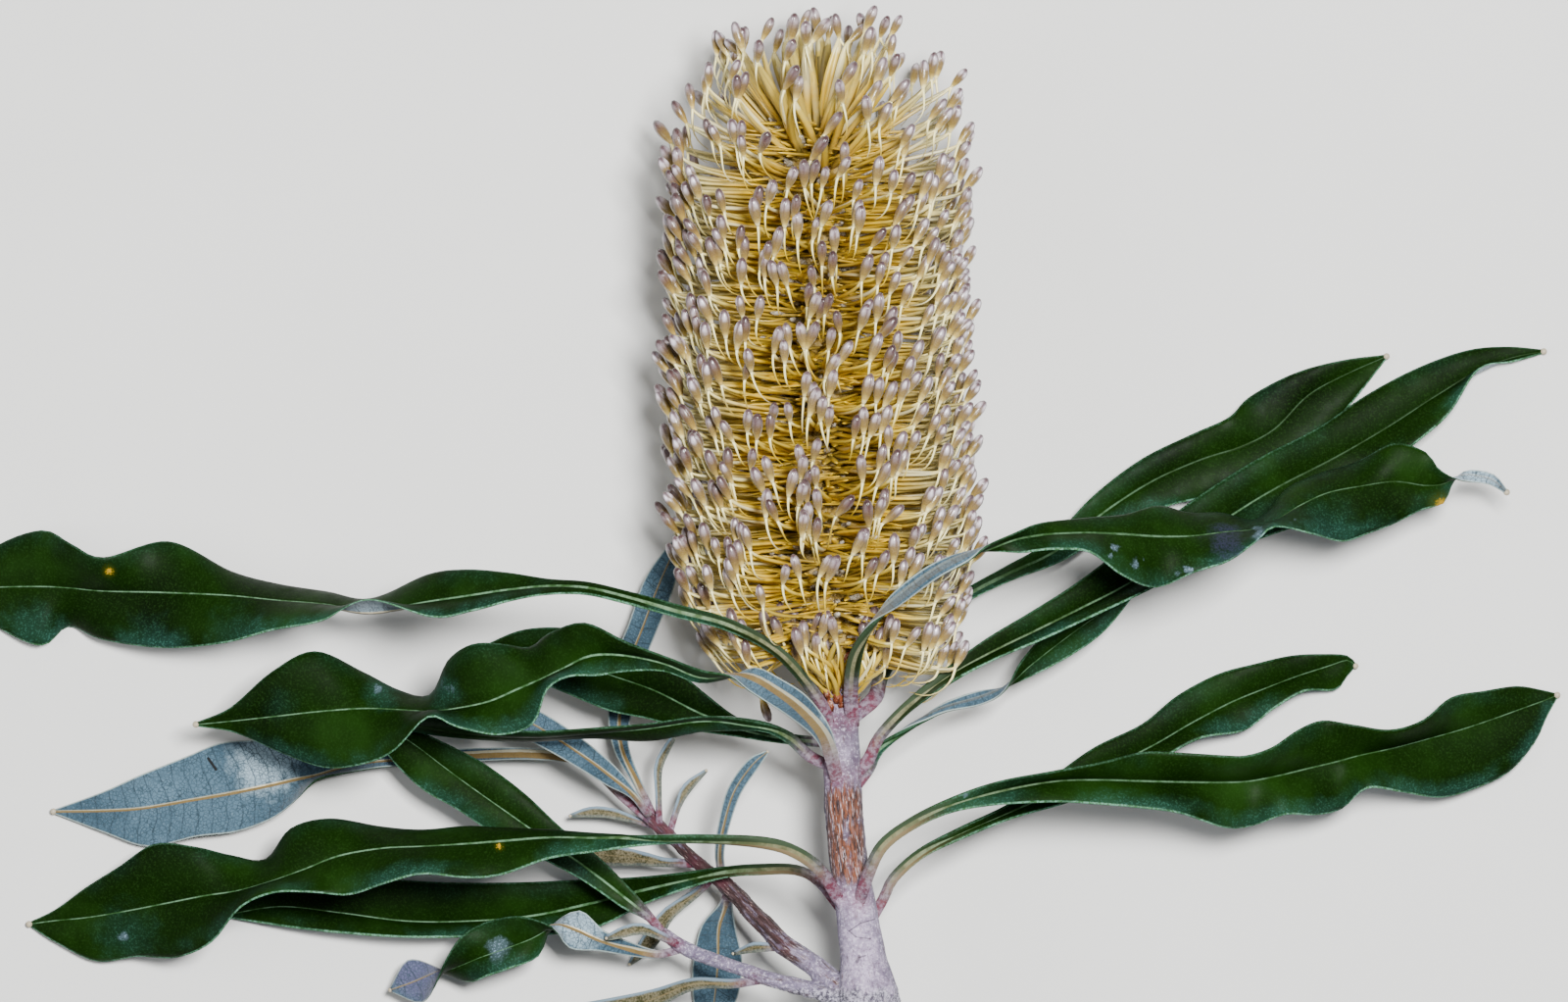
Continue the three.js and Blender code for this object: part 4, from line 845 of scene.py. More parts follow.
def underside():
    recipe = Recipe("leaf_underside")
    mix, band = recipe.mix, recipe.band
    where = recipe.place()
    along, across, inset = recipe.split(recipe.attribute("place", "Vector"))
    side = abs(across)
    fine = recipe.clouds(where, 2.2, 4.0)
    grit = recipe.clouds(where, 0.4, 3.0, 0.7)
    course = along * 0.36 - side * 0.06 + recipe.clouds(where, 9, 2.0) * 1.6 + (fine - 0.5) * 0.25
    veins = band(course.maths("PINGPONG", course, VEIN["spacing"]), 0.01, 0.08, 1.0, 0.0)
    veins = veins * band(grit, 0.3, 0.6, 0.35, 1.0)
    net = recipe.cells(recipe.join(along - side * 0.1 + fine * 0.5, across, 0.0), 0.75)
    meshes = band(net, 0.02, 0.11, 1.0, 0.0)
    # thick: the whiter patches, in part painted light; the cream highlight of the rib is brighter there too
    thick = 0.0
    for x, y, radius in WHITER_FELT_AND_LIGHT:
        reach = distance(recipe, where, x, y) + (fine - 0.5) * radius
        thick = band(reach, radius * 0.3, radius, 0.8, 0.0) + thick
    thick = thick.clamped()
    lilac_x, lilac_y, radius = LILAC_FELT
    lilac = band(distance(recipe, where, lilac_x, lilac_y), radius * 0.6, radius, 0.9, 0.0)
    half = recipe.attribute("rib") * 1.7
    rib = band(side - half, -0.15, 0.08, 1.0, 0.0)
    sunken = band(recipe.split(where)[0], 8, 16, 1.0, 0.25)  # on the right the felt hides the midrib
    # painted highlight: one side of the midrib cord is painted cream
    lit = band(across + half * 0.3 + (fine - 0.5) * 0.3, -0.12, 0.06, 1.0, 0.0)
    tan = mix(fine, (84, 66, 32), (122, 102, 60))
    cream = mix(thick, (150, 146, 124), (222, 206, 168))
    pink = recipe.attribute("pink")
    colour = recipe.layers(
        recipe.ramp(recipe.clouds(where, 16), (0.3, (36, 60, 74)), (0.7, (72, 98, 114))),
        (thick, (146, 168, 180)),
        (lilac, (74, 74, 104)),
        (band(grit, 0.5, 0.75, 0.0, 0.3), (126, 150, 164)),
        (meshes * band(fine, 0.35, 0.6, 0.4, 0.8), (30, 48, 56)),
        (veins * 0.7, (24, 40, 48)),
        (band(inset, 0.1, 0.35, 0.6, 0.0), (170, 184, 178)),
        (rib * sunken, mix(lit, tan, cream)),
        (stroke(recipe, where, *SLIT), (8, 10, 12)),
        (pink, stalk_colour(recipe, where, pink)),
    )
    return recipe.finish(
        Base_Color=colour,
        Roughness=0.8,
        Normal=recipe.relief(meshes * 0.05 + veins * 0.07 + grit * 0.06, 0.8),
        Sheen_Weight=0.2,
        Sheen_Roughness=0.5,
        Specular_IOR_Level=0.25,
    )


def leaf_tip():
    """The hard, dull point at the end of a leaf."""
    recipe = Recipe("leaf_tip")
    dust = recipe.clouds(recipe.place(), 0.8, 3.0)
    return recipe.finish(Base_Color=recipe.mix(dust, (134, 122, 96), (188, 178, 156)), Roughness=0.5)


FINISHES["leaf_underside"] = underside()
FINISHES["leaf_tip"] = leaf_tip()
print("nodes of the underside:", len(FINISHES["leaf_underside"].node_tree.nodes))


# %% [markdown]
# ## All the leaves
# A leaf ends in a small hard point. It could be pulled out of the blade's last row, but a small sphere,
# joined to the leaf, is round from all sides and keeps a finish of its own. Each leaf stands for the
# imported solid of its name.

# %% Grow all leaves
TIP = {"least": 0.32, "growth": 0.0032, "most": 0.7}  # radius in mm, growing with the leaf's reach


def point_leaf(piece, stations):
    """Adds the small knob at the leaf's tip."""
    alone()
    knob = min(TIP["most"], TIP["least"] + TIP["growth"] * abs(stations[-1][0] - stations[0][0]))
    place = Vector(stations[-1][:3])
    place.z = max(place.z, knob + TABLE_GAP)
    bpy.ops.mesh.primitive_uv_sphere_add(segments=12, ring_count=8, radius=knob * MM, location=place * MM)
    bpy.ops.object.transform_apply(location=True)
    bpy.ops.object.shade_smooth()
    bpy.context.object.data.materials.append(FINISHES["leaf_tip"])
    piece.select_set(True)
    bpy.context.view_layer.objects.active = piece
    bpy.ops.object.join()


leaf_faces = 0
for leaf_name, stations in LEAVES.items():
    piece, columns = leaf_skin(leaf_name + "_blade", stations)
    give_faces(piece, columns)
    close_skin(piece)
    point_leaf(piece, stations)
    grow_on(piece, "leaf", leaf_name)
    leaf_faces += len(piece.data.polygons)
print("leaf faces:", leaf_faces)


# %% [markdown]
# ## Woody stem
# The stem and its two shoots are one growth of wood. Like the leaves they are told by stations, here with
# the wood's radius at each, so that the stem can thicken towards its foot.

# %% Stations of the wood
TWIGS = {  # x, y, z and radius in mm
    "main_stem": [
        [12, -147, 27, 6.2], [11.2, -140, 28, 6.2], [10.2, -132, 29.5, 6], [9.4, -127, 30.2, 5],
        [8.4, -120, 30.8, 4.4], [7.4, -113, 31, 4.1], [6.2, -106, 31, 3.9], [5.4, -98, 31, 3.9],
        [5, -90, 31, 3.9], [4.8, -84, 31, 3.8], [4.6, -78, 31, 3.5], [4.2, -73, 31, 3.2], [3.8, -68, 31, 3.2],
    ],
    "upper_shoot": [
        [8, -131, 29, 2.6], [4, -131, 28, 2.5], [-1, -127, 25, 2.3], [-7, -123, 21, 2.1],
        [-13, -117, 17, 1.9], [-19, -111, 13, 1.7], [-23, -108, 11.5, 1.5], [-27, -104.4, 10.2, 1.3],
        [-31, -100.4, 9.4, 1.3], [-34.2, -97.6, 9.2, 1.2], [-35.6, -96, 9.4, 0.8],
    ],
    "lower_shoot": [
        [9, -134, 29.5, 2], [3, -133, 28.6, 1.8], [-3, -131.6, 27, 1.7], [-9, -130.2, 24.4, 1.6],
        [-14, -128.6, 21.6, 1.5], [-19, -127, 19, 1.4], [-25, -125, 16.4, 1.5], [-29, -123, 14.8, 1.5],
        [-31.8, -120.8, 13.4, 1.2],
    ],
}
WOOD = {"sides": 24, "spacing": 2.5, "voxel": 0.42}  # spacing of rings and voxels in mm
SOFTENING = {"factor": 0.5, "iterations": 6}
CUSHION = {"stem": (1.25, 3.2), "shoot": (0.8, 1.8)}  # radius across and along the stalk
print("wood stations:", sum(len(table) for table in TWIGS.values()))


# %% [markdown]
# ## Wood by extrusion
# A curve with a bevel could make a twig. Extruding does the same step by step: a circle is extruded from
# station to station and resized to the wood's girth there, which leaves a mesh that can be joined.


# %% Extrude the wood
def extruded_wood(name, table):
    """A circle extruded along stations, facing the way from the first to the last."""
    rows = smooth_rows(np.array(table, float), WOOD["spacing"])
    centres = [Vector(row[:3]) * MM for row in rows]
    radii = rows[:, 3]
    facing = (centres[-1] - centres[0]).to_track_quat("Z", "Y").to_euler()
    bpy.ops.mesh.primitive_circle_add(
        vertices=WOOD["sides"],
        radius=radii[0] * MM,
        fill_type="NGON",
        location=centres[0],
        rotation=facing,
    )
    piece = bpy.context.object
    piece.name = name
    bpy.ops.object.mode_set(mode="EDIT")
    bpy.ops.mesh.select_all(action="SELECT")
    for i in range(1, len(centres)):
        step = centres[i] - centres[i - 1]
        bpy.ops.mesh.extrude_region_move(TRANSFORM_OT_translate={"value": step})
        growth = radii[i] / radii[i - 1]
        bpy.ops.transform.resize(value=(growth, growth, growth), center_override=centres[i])
    bpy.ops.mesh.select_all(action="SELECT")
    bpy.ops.mesh.normals_make_consistent(inside=False)
    bpy.ops.object.mode_set(mode="OBJECT")
    bpy.ops.object.transform_apply(location=True, rotation=True, scale=True)
    return piece


# %% [markdown]
# ## Cushions and joins
# Where a leaf's stalk leaves, the wood swells into a cushion, so a sphere is set at each. A voxel remesh
# then melts stem, shoots and cushions into one skin, and a smoothing modifier softens the joins.


# %% Cushions under the stalks
def cushion(stations):
    """The swelling that a leaf's stalk grows from."""
    foot, out = Vector(stations[0][:3]), Vector(stations[1][:3])
    across, along = CUSHION["stem" if foot.x > 0 else "shoot"]
    bpy.ops.mesh.primitive_uv_sphere_add(
        segments=16,
        ring_count=10,
        radius=MM,
        location=foot.lerp(out, -0.06) * MM,
        rotation=(out - foot).to_track_quat("Z", "Y").to_euler(),
        scale=(across, across, along),
    )
    bpy.ops.object.transform_apply(location=True, rotation=True, scale=True)
    return bpy.context.object


# %% Melt the wood together
alone()
wood_parts = [extruded_wood(name, table) for name, table in TWIGS.items()]
wood_parts += [cushion(stations) for stations in LEAVES.values()]
alone()
for part in wood_parts:
    part.select_set(True)
bpy.context.view_layer.objects.active = wood_parts[0]
bpy.ops.object.join()
wood = bpy.context.object
wood.name = "woody_stem_bark"
wood.data.remesh_voxel_size = WOOD["voxel"] * MM
bpy.ops.object.voxel_remesh()
bpy.ops.object.modifier_add(type="SMOOTH")
wood.modifiers[-1].factor = SOFTENING["factor"]
wood.modifiers[-1].iterations = SOFTENING["iterations"]
bpy.ops.object.modifier_apply(modifier=wood.modifiers[-1].name)
bpy.ops.object.shade_smooth()
print("wood faces:", len(wood.data.polygons))

# %% [markdown]
# ## Bark
# The young wood is covered with pale felt. In the middle of the stem it has split into orange-brown bark,
# and along the upper shoot into purple-brown bark, with furrows along the grain. To let furrows follow
# each twig, every point of the skin keeps its place in its own twig: the offset from the centre line,
# with the distance along it shortened, so that noise comes out drawn along the grain.

# %% Relief and grain of the bark
GRAIN = {"stretch": 0.14, "apart": 20}  # how much it is drawn out, and how far twigs lie apart in it
BARKY = {"stem": (-113, -107, -94, -86), "shoot": (-10, -3)}  # y on the stem, x on the upper shoot
BLUSH = {"stem": 2.6, "shoot": 1.9}  # reach of the crimson at a leaf's foot, in mm
RELIEF = {"lumps": 0.12, "felt": 0.08, "bark": 0.22, "pits": 0.05, "foot": 0.5}  # heights in mm
FOOT = (-130, -134)  # y where the stem's foot turns rough
LINE_SPACING = 0.8  # between the points of a twig's centre line, in mm
CHUNK = 4000  # points of the skin that are compared with those at a time


def barkiness(kind, x, y, facing):
    """How far the felt has split into bark, by twig, place and how far the skin faces up."""
    low_start, low_end, high_start, high_end = BARKY["stem"]
    stem = smooth(low_start, low_end, y) * (1 - smooth(high_start, high_end, y))
    stem *= 0.55 + 0.45 * smooth(-0.2, 0.6, facing)
    shoot = 1 - 0.65 * smooth(*BARKY["shoot"], x)
    return np.select([kind == 0, kind == 1], [stem, shoot], 0.1)


def lay_grain(piece):
    """Each point's place, its offset from its twig's centre line, its grain, bark and darkness."""
    lines = [smooth_rows(np.array(table, float), LINE_SPACING) for table in TWIGS.values()]
    starts = [np.cumsum(np.r_[0, np.linalg.norm(np.diff(line[:, :3], axis=0), axis=1)]) for line in lines]
    samples = np.vstack(lines)
    along = np.concatenate(starts)
    kinds = np.repeat([0, 1, 2], [len(line) for line in lines])
    flow = np.vstack([unit(runs(line[:, :3])) for line in lines])
    count = len(piece.data.vertices)
    points = np.empty(count * 3, np.float32)
    piece.data.vertices.foreach_get("co", points)
    points = points.reshape(-1, 3) / MM
    near = np.empty(count, int)
    for start in range(0, count, CHUNK):
        gap = np.linalg.norm(points[start : start + CHUNK, None] - samples[None, :, :3], axis=2)
        near[start : start + CHUNK] = np.argmin(gap / samples[:, 3], axis=1)
    along, kind, flow = along[near], kinds[near], flow[near]
    offset = points - samples[near, :3]
    run = np.sum(offset * flow, axis=1)
    offset -= flow * run[:, None]
    side = unit(np.stack([-flow[:, 1], flow[:, 0], 0 * run], axis=1))
    lengthwise = (along + run) * GRAIN["stretch"] + GRAIN["apart"] * kind
    grain = np.stack([np.sum(offset * side, axis=1), offset[:, 2], lengthwise], axis=1)
    bark = barkiness(kind, points[:, 0], points[:, 1], unit(offset)[:, 2])
    dark = (kind == 1) * (1 - smooth(*BARKY["shoot"], points[:, 0]))
    return points, offset, grain, bark, dark


# %% Crimson round the leaves' feet
def crimson_feet(points):
    """1 at the foot of a leaf's stalk, fading out around it."""
    blush = np.zeros(len(points))
    for stations in LEAVES.values():
        foot, out = np.array(stations[0][:3]), np.array(stations[1][:3])
        reach = BLUSH["stem" if foot[0] > 0 else "shoot"]
        gap = np.linalg.norm(points - (foot * 0.75 + out * 0.25), axis=1)
        blush = np.maximum(blush, np.exp(-((gap / reach) ** 2)))
    return blush


# %% [markdown]
# ## Relief of the bark
# Furrows, lumps and pits could be left to a bump in the finish, but then the outline stays smooth. So the
# points themselves are moved away from the centre line or towards it, most where the bark has split and
# at the rough foot. The finish reads the same grain from attributes.

# %% Press the relief into the bark
wood_points, wood_offset, wood_grain, wood_bark, wood_dark = lay_grain(wood)
wood_blush = crimson_feet(wood_points)
furrows = np.array([noise.fractal(Vector(spot) * 1.15, 0.6, 2.0, 3) for spot in wood_grain])
lumps = np.array([noise.noise(Vector(spot) * 0.35) for spot in wood_points])
pits = np.array([noise.noise(Vector(spot) * 1.3) for spot in wood_points])
rise = RELIEF["lumps"] * lumps + (RELIEF["felt"] + wood_bark * RELIEF["bark"]) * furrows
rise += RELIEF["pits"] * pits + RELIEF["foot"] * smooth(*FOOT, wood_points[:, 1]) * pits
moved = wood_points + unit(wood_offset) * rise[:, None]
wood.data.vertices.foreach_set("co", (moved * MM).astype(np.float32).ravel())
add_attribute(wood.data, "grain", wood_grain)
for label, values in {"bark": wood_bark, "dark": wood_dark, "blush": wood_blush}.items():
    add_attribute(wood.data, label, values[:, None])
print("bark relief in mm:", round(float(rise.min()), 2), "to", round(float(rise.max()), 2))


# %% [markdown]
# ## Colours of the bark
# The felt is lilac-grey, paler low on the stem, and sooty at its foot. The bark shows through its cracks.
# There is crimson round the feet of the leaves, and there are a few dark scratches. The sawn end shows
# rings round a pith. Noise that is drawn out along the grain gives the bark its strands.

# %% Marks on the wood
SCRATCHES = [  # start, end and width of thin dark marks
    ((11.6, -117.4), (8.6, -118.2), 0.16), ((8.6, -118.2), (6.3, -119.8), 0.16),
    ((6.3, -119.8), (7.6, -121), 0.16), ((7.6, -121), (10.6, -121.4), 0.12),
    ((8.3, -125), (7.9, -126), 0.4), ((9.6, -124.8), (8.3, -125.2), 0.2),
]
CUT_END = {"x": 12, "y": -146.9, "z": 27}  # the middle of the sawn face, in mm
print("scratches:", len(SCRATCHES))


# %% Felt, bark and the sawn end
def felt_colour(recipe, y, above, soft, dust, flecks):
    """Lilac-grey felt, paler low on the stem, with painted shade where the wood turns away."""
    band = recipe.band
    pale = recipe.ramp(soft, (0.3, (104, 92, 114)), (0.48, (148, 134, 158)), (0.7, (184, 170, 196)))
    sooty = recipe.mix(band(dust, 0.4, 0.6), (50, 48, 58), (168, 164, 178))
    return recipe.layers(
        recipe.ramp(soft, (0.3, (66, 54, 68)), (0.48, (110, 98, 116)), (0.7, (150, 138, 160))),
        (band(y + (soft - 0.5) * 8, -116, -108, 1.0, 0.0), pale),
        # painted shade: darker felt where the skin lies low on the twig's sides
        (band(above + (soft - 0.5) * 2, 0.6, 4.6, 0.85, 0.0), (92, 86, 108)),
        (band(dust, 0.5, 0.66, 0.0, 0.6), (214, 204, 222)),
        (band(dust, 0.32, 0.46, 0.8, 0.0), (84, 64, 82)),
        (band(flecks, 0.6, 0.68, 0.0, 0.7), (70, 50, 54)),
        (band(y + (soft - 0.5) * 4, -133, -131, 0.85, 0.0), sooty),
    )


def bark_colour(recipe, above, strands, flecks):
    """Orange-brown bark with painted shade on the twig's sides, or purple-brown where the attribute dark says
    so.
    """
    band = recipe.band
    stops = ((0.38, (34, 22, 22)), (0.46, (66, 44, 38)), (0.54, (122, 68, 42)), (0.62, (118, 86, 78)))
    brown = recipe.layers(
        recipe.ramp(strands, *stops),
        # painted shade: darker bark where the skin lies low on the twig's sides
        (band(above, 1.2, 3.7, 0.85, 0.0), (56, 44, 46)),
        (band(flecks, 0.56, 0.66, 0.0, 0.8), (196, 180, 184)),
    )
    purple = recipe.ramp(strands, (0.32, (18, 10, 10)), (0.5, (48, 28, 28)), (0.7, (84, 64, 66)))
    purple = recipe.mix(band(flecks, 0.6, 0.68, 0.0, 0.7), purple, (160, 136, 132))
    return recipe.mix(recipe.attribute("dark"), brown, purple)


def cut_face(recipe, where, soft):
    """1 on the sawn end, and the colour of its rings round the pith."""
    band = recipe.band
    x, y, z = recipe.split(where)
    x, z = x - CUT_END["x"], z - CUT_END["z"]
    centre = x.maths("SQRT", x * x + z * z)
    wavy = centre + soft * 0.5
    rings = band(wavy.maths("PINGPONG", wavy, 0.45), 0.05, 0.3)
    colour = recipe.mix(rings, (120, 92, 56), (178, 152, 104))
    colour = recipe.mix(band(centre, 0.4, 1.0, 1.0, 0.0), colour, (96, 66, 38))
    is_cut = band(y, CUT_END["y"], CUT_END["y"] + 0.3, 1.0, 0.0) * band(centre, 4.9, 5.2, 1.0, 0.0)
    return is_cut, colour


# %% Finish of the bark
def bark_finish():
    recipe = Recipe("bark_and_felt")
    where = recipe.place()
    y = recipe.split(where)[1]
    grain = recipe.attribute("grain", "Vector")
    above = recipe.split(grain)[1]  # height over the twig's own centre line
    strands = recipe.clouds(grain, 0.5, 5.0, 0.68)
    flecks = recipe.clouds(grain, 0.28, 3.0, 0.6)
    shreds = recipe.clouds(grain, 0.9, 4.0, 0.6)
    soft = recipe.clouds(where, 3.5, 4.0)
    dust = recipe.clouds(where, 0.7, 5.0, 0.75)
    split = recipe.attribute("bark") + (soft - 0.5) * 1.4 + (shreds - 0.5) * 3.0
    split = recipe.band(split, 0.3, 0.9)
    colour = recipe.layers(
        felt_colour(recipe, y, above, soft, dust, flecks),
        (split, bark_colour(recipe, above, strands, flecks)),
        (recipe.attribute("blush") * recipe.band(dust, 0.3, 0.6, 0.8, 0.4), (104, 44, 62)),
        cut_face(recipe, where, soft),
    )
    for scratch in SCRATCHES:
        colour = recipe.mix(stroke(recipe, where, *scratch) * 0.6, colour, (40, 26, 30))
    return recipe.finish(
        Base_Color=colour,
        Roughness=0.82,
        Normal=recipe.relief(split * (strands * 0.4) + dust * 0.16 + flecks * 0.1, 1.0),
        Sheen_Weight=0.06,
        Specular_IOR_Level=0.25,
    )


wood.data.materials.clear()
wood.data.materials.append(bark_finish())
grow_on(wood, "bark", "woody_stem")
print("nodes of the bark:", len(wood.active_material.node_tree.nodes))


# %% [markdown]
# ## The floret rule
# A banksia spike is packed with florets in pairs, set round its woody axis in a spiral. Each one stands
# straight out and turns up into a bud. Towards the top they fan out into a crown and towards the foot
# they sag into a skirt. The solids follow such a rule too, with fewer and larger florets. A golden-angle
# spiral places the pairs evenly, and a seeded draw makes each a little different.

# %% Numbers of the florets
PAIRS = 455
GOLDEN_ANGLE = math.pi * (3 - math.sqrt(5))
ROOTS = {"low": -66, "high": 48, "sunk": 1.0, "drop": 2.5}
FLORET = {"elbow": 28.2, "rise": 1.7, "bend": 63, "bud": 5.8, "girth": 1.08}
CROWN = {"from": 29, "to": 50.5, "fan": 78, "upright": 16, "reach": 23.5, "shorter": 2.6, "lean": 2.6}
THINNED = {"from": 42.5, "to": 46.5, "left_out": 0.8}
COLLAR = {  # the loose tuft at the spike's foot
    "pairs": 13, "low": -71, "high": -67, "outward": 36, "upturned": 74, "reach": (8, 15), "turn": 0.9,
    "root_radius": 2.2, "leg": 0.4, "shade": (0.4, 0.8), "outward_spread": 20, "upturned_spread": 14,
}
OPENING = {"from": -50, "to": -57, "turn": 0.62, "left_out": 0.92}  # the skirt parts over the collar
SKIRT = {"from": 46, "to": 66, "sag": 20, "upright": 4, "shorter": 5}
TOP = {"height": 69.2, "ragged": 3, "crown": 0.3}  # where buds of the crown end at most, in mm
AXIS_WOOD = [  # x, y, z and radius of the woody axis
    [3.7, -68.5, 31, 2.4], [3.2, -66, 31, 3.4], [2.4, -62.5, 31, 5], [1.5, -57, 31, 6.6], [0.8, -45, 31, 7.2],
    [0, 0, 31, 7.2], [-0.6, 28, 31, 7], [-0.9, 40, 31, 6.2], [-1.1, 45, 31, 4.8], [-1.2, 48.5, 31, 2.2],
]
LEAF_ROOM = 1.35  # clearance from a leaf's middle to a floret's, in mm
TWINS = {"angle": 0.042, "aside": 0.4}  # how far the two of a pair stand apart
SPREAD = {  # of the draws: lengths in mm, pair_angle in radians, other turns in degrees, size as a share
    "pair_height": 1.6, "height": 0.9, "pair_angle": 0.15, "outward": 5, "upturned": 13, "reach": 1.7,
    "size": 0.13, "aside": 1.5, "lean": 17,
}
TOP_SIDE = {"lean": 11, "spread": 12}  # how far buds lean on the side that faces up, in degrees
UNRULY = {"outward": 1.2, "upturned": 2.2, "lean": 1.5}  # how much more the draws spread in the crown
STYLE_DROP = {"length": (4.2, 7.2), "skirt": 4}  # how far a style hangs down, in mm
random = np.random.default_rng(7)


def draw(count, spread):
    """Seeded numbers between -spread and spread."""
    return random.uniform(-spread, spread, count)


def axis_at(height, column):
    """The axis' x, or in column 3 its radius, at a height."""
    line = np.array(AXIS_WOOD)
    return np.interp(height, line[:, 1], line[:, column])


def about_axis(turn, out=0, up=0, around=0):
    """Directions at angles round the spike, from their parts outwards, upwards and around."""
    x = out * np.cos(turn) - around * np.sin(turn)
    z = out * np.sin(turn) + around * np.cos(turn)
    return np.stack([x, up + 0 * turn, z], axis=1)


print("the axis' radius in mm, low, in the middle and high:", axis_at([ROOTS["low"], 0, ROOTS["high"]], 3))


# %% [markdown]
# ## Numbers for each floret
# Florets could be turned and moved one by one, but there are hundreds. Arrays hold a number for each,
# such as its height, its turn round the spike and how far it reaches, so that a line sets them all. Most
# florets at the very top are left out, because the crown is open there, and so are those of the skirt
# that would hide the collar.

# %% One set of numbers for each floret
pair = np.repeat(np.arange(PAIRS), 2)
twin = np.tile([-1, 1], PAIRS)
count = len(pair)
pair_height = ROOTS["low"] + (ROOTS["high"] - ROOTS["low"]) * pair / (PAIRS - 1)
height = pair_height + draw(PAIRS, SPREAD["pair_height"])[pair] + draw(count, SPREAD["height"])
angle = pair * GOLDEN_ANGLE + draw(PAIRS, SPREAD["pair_angle"])[pair] + twin * TWINS["angle"]
crown = smooth(CROWN["from"], CROWN["to"], height)
skirt = smooth(SKIRT["from"], SKIRT["to"], -height)
outward = CROWN["fan"] * crown - SKIRT["sag"] * skirt
outward = np.radians(outward + draw(count, SPREAD["outward"]) * (1 + UNRULY["outward"] * crown))
upturned = np.radians(FLORET["bend"] + CROWN["upright"] * crown + SKIRT["upright"] * skirt)
upturned += np.radians(draw(count, SPREAD["upturned"]) * (1 + UNRULY["upturned"] * crown))
root_radius = axis_at(height, 3) - ROOTS["sunk"]
reach = (FLORET["elbow"] - root_radius) * (1 - crown) + CROWN["reach"] * crown
reach += draw(count, SPREAD["reach"]) - CROWN["shorter"] * crown**3 - SKIRT["shorter"] * skirt
reach += CROWN["lean"] * crown * np.cos(angle)
size = 1 + draw(count, SPREAD["size"])
rise = FLORET["rise"] * size
spread = twin * TWINS["aside"] + draw(count, SPREAD["aside"])
on_top = np.maximum(np.sin(angle), 0)
side_lean = draw(count, SPREAD["lean"]) * (1 + UNRULY["lean"] * crown) - TOP_SIDE["lean"] * on_top
side_lean = np.radians(side_lean)
side_lean += np.radians(draw(count, TOP_SIDE["spread"])) * on_top
shade = random.uniform(0, 1, count)
bow = draw((4, count), 1.0)
leg = random.uniform(*STYLE_DROP["length"], count) + STYLE_DROP["skirt"] * skirt * random.uniform(0, 1, count)
left_out = THINNED["left_out"] * smooth(THINNED["from"], THINNED["to"], height)
grown = random.uniform(0, 1, count) > left_out
facing = np.abs((angle - math.pi / 2 + math.pi) % (2 * math.pi) - math.pi)
parted = smooth(OPENING["from"], OPENING["to"], height) * (facing < OPENING["turn"])
grown &= random.uniform(0, 1, count) > OPENING["left_out"] * parted
print("florets:", count)

# %% [markdown]
# ## The collar
# The lowest florets of the picture stand in a loose tuft in front of the stem, so the first few pairs
# get numbers of their own. Last of all, florets that would stand above the spike's top are shortened.

# %% Collar and top
collar = pair < COLLAR["pairs"]
members = collar.sum()
grown[collar] = True
angle[collar] = math.pi / 2 + draw(members, COLLAR["turn"])
height[collar] = random.uniform(COLLAR["low"], COLLAR["high"], members)
root_radius[collar] = COLLAR["root_radius"]
outward[collar] = np.radians(COLLAR["outward"] + draw(members, COLLAR["outward_spread"]))
upturned[collar] = np.radians(COLLAR["upturned"] + draw(members, COLLAR["upturned_spread"]))
reach[collar] = random.uniform(*COLLAR["reach"], members)
leg[collar] *= COLLAR["leg"]
shade[collar] = random.uniform(*COLLAR["shade"], members)
tip = height + (reach - ROOTS["drop"]) * np.sin(outward) + (rise + FLORET["bud"] * size) * np.sin(upturned)
above = tip - TOP["height"] + random.uniform(0, TOP["ragged"], count)
reach -= np.maximum(above, 0) * (crown > TOP["crown"])
print("florets of the collar:", members)


# %% [markdown]
# ## Paths of the florets
# A floret's claw is a pair of ribbons that run from the axis to the foot of the bud and turn up there in
# a tight elbow. Its wiry style rises from among the ribbons below to the foot of the bud, so each bud
# seems to stand on one thin leg. Each path is a Bezier curve in the floret's own plane, because four
# points are enough to say how it bends.


# %% Bezier paths
def bezier(points, t):
    a, b, c, d = (point[:, None] for point in points)
    t = t[None, :, None]
    return a * (1 - t) ** 3 + 3 * b * t * (1 - t) ** 2 + 3 * c * t**2 * (1 - t) + d * t**3


def offset(out, up, aside):
    """A vector for each floret from its parts outwards, upwards and sideways."""
    parts = np.broadcast_arrays(out, up, aside, np.zeros(count))[:3]
    return np.stack(parts, axis=1)


def plane_paths():
    """Control points, in mm, of both ribbons and the style, and where each bud stands and points."""
    root = offset(root_radius, height - ROOTS["drop"] * np.sin(outward), 0)
    out = offset(np.cos(outward), np.sin(outward), 0)
    lift = offset(-np.sin(outward), np.cos(outward), 0)
    aim = unit(offset(np.cos(upturned), np.sin(upturned), np.tan(side_lean)))
    elbow = root + out * reach[:, None] + offset(0, 0, spread)
    foot = elbow + aim * rise[:, None]
    ribbons = []
    for hand in (-1, 1):
        pull = draw((3, count), 1.0)
        start = root + offset(0, hand * 0.5 + pull[0] * 0.8, hand * 0.9)
        bend = offset(0, pull[1] * 2.4 + hand * 0.5, pull[2] * 3.4 + hand * 0.7)
        middle = root + (elbow - root) * 0.5 + bend
        ribbons.append((start, middle, elbow + offset(0.3, 0.2 * hand, 0.3 * hand), foot + aim * 0.3))
    drop = (leg * (1 - 0.4 * crown))[:, None]
    style = (
        foot - out * 6.5 - lift * drop * 1.05 + offset(0, 0, bow[0] * 1.6),
        foot - out * 1.2 - lift * drop * 1.05 + offset(bow[1] * 0.6, bow[2] * 0.5, bow[0] * 1.5),
        foot - aim * 2.4 + offset(0.3, 0, bow[3] * 0.4),
        foot + aim * 0.5,
    )
    return ribbons, style, foot, aim


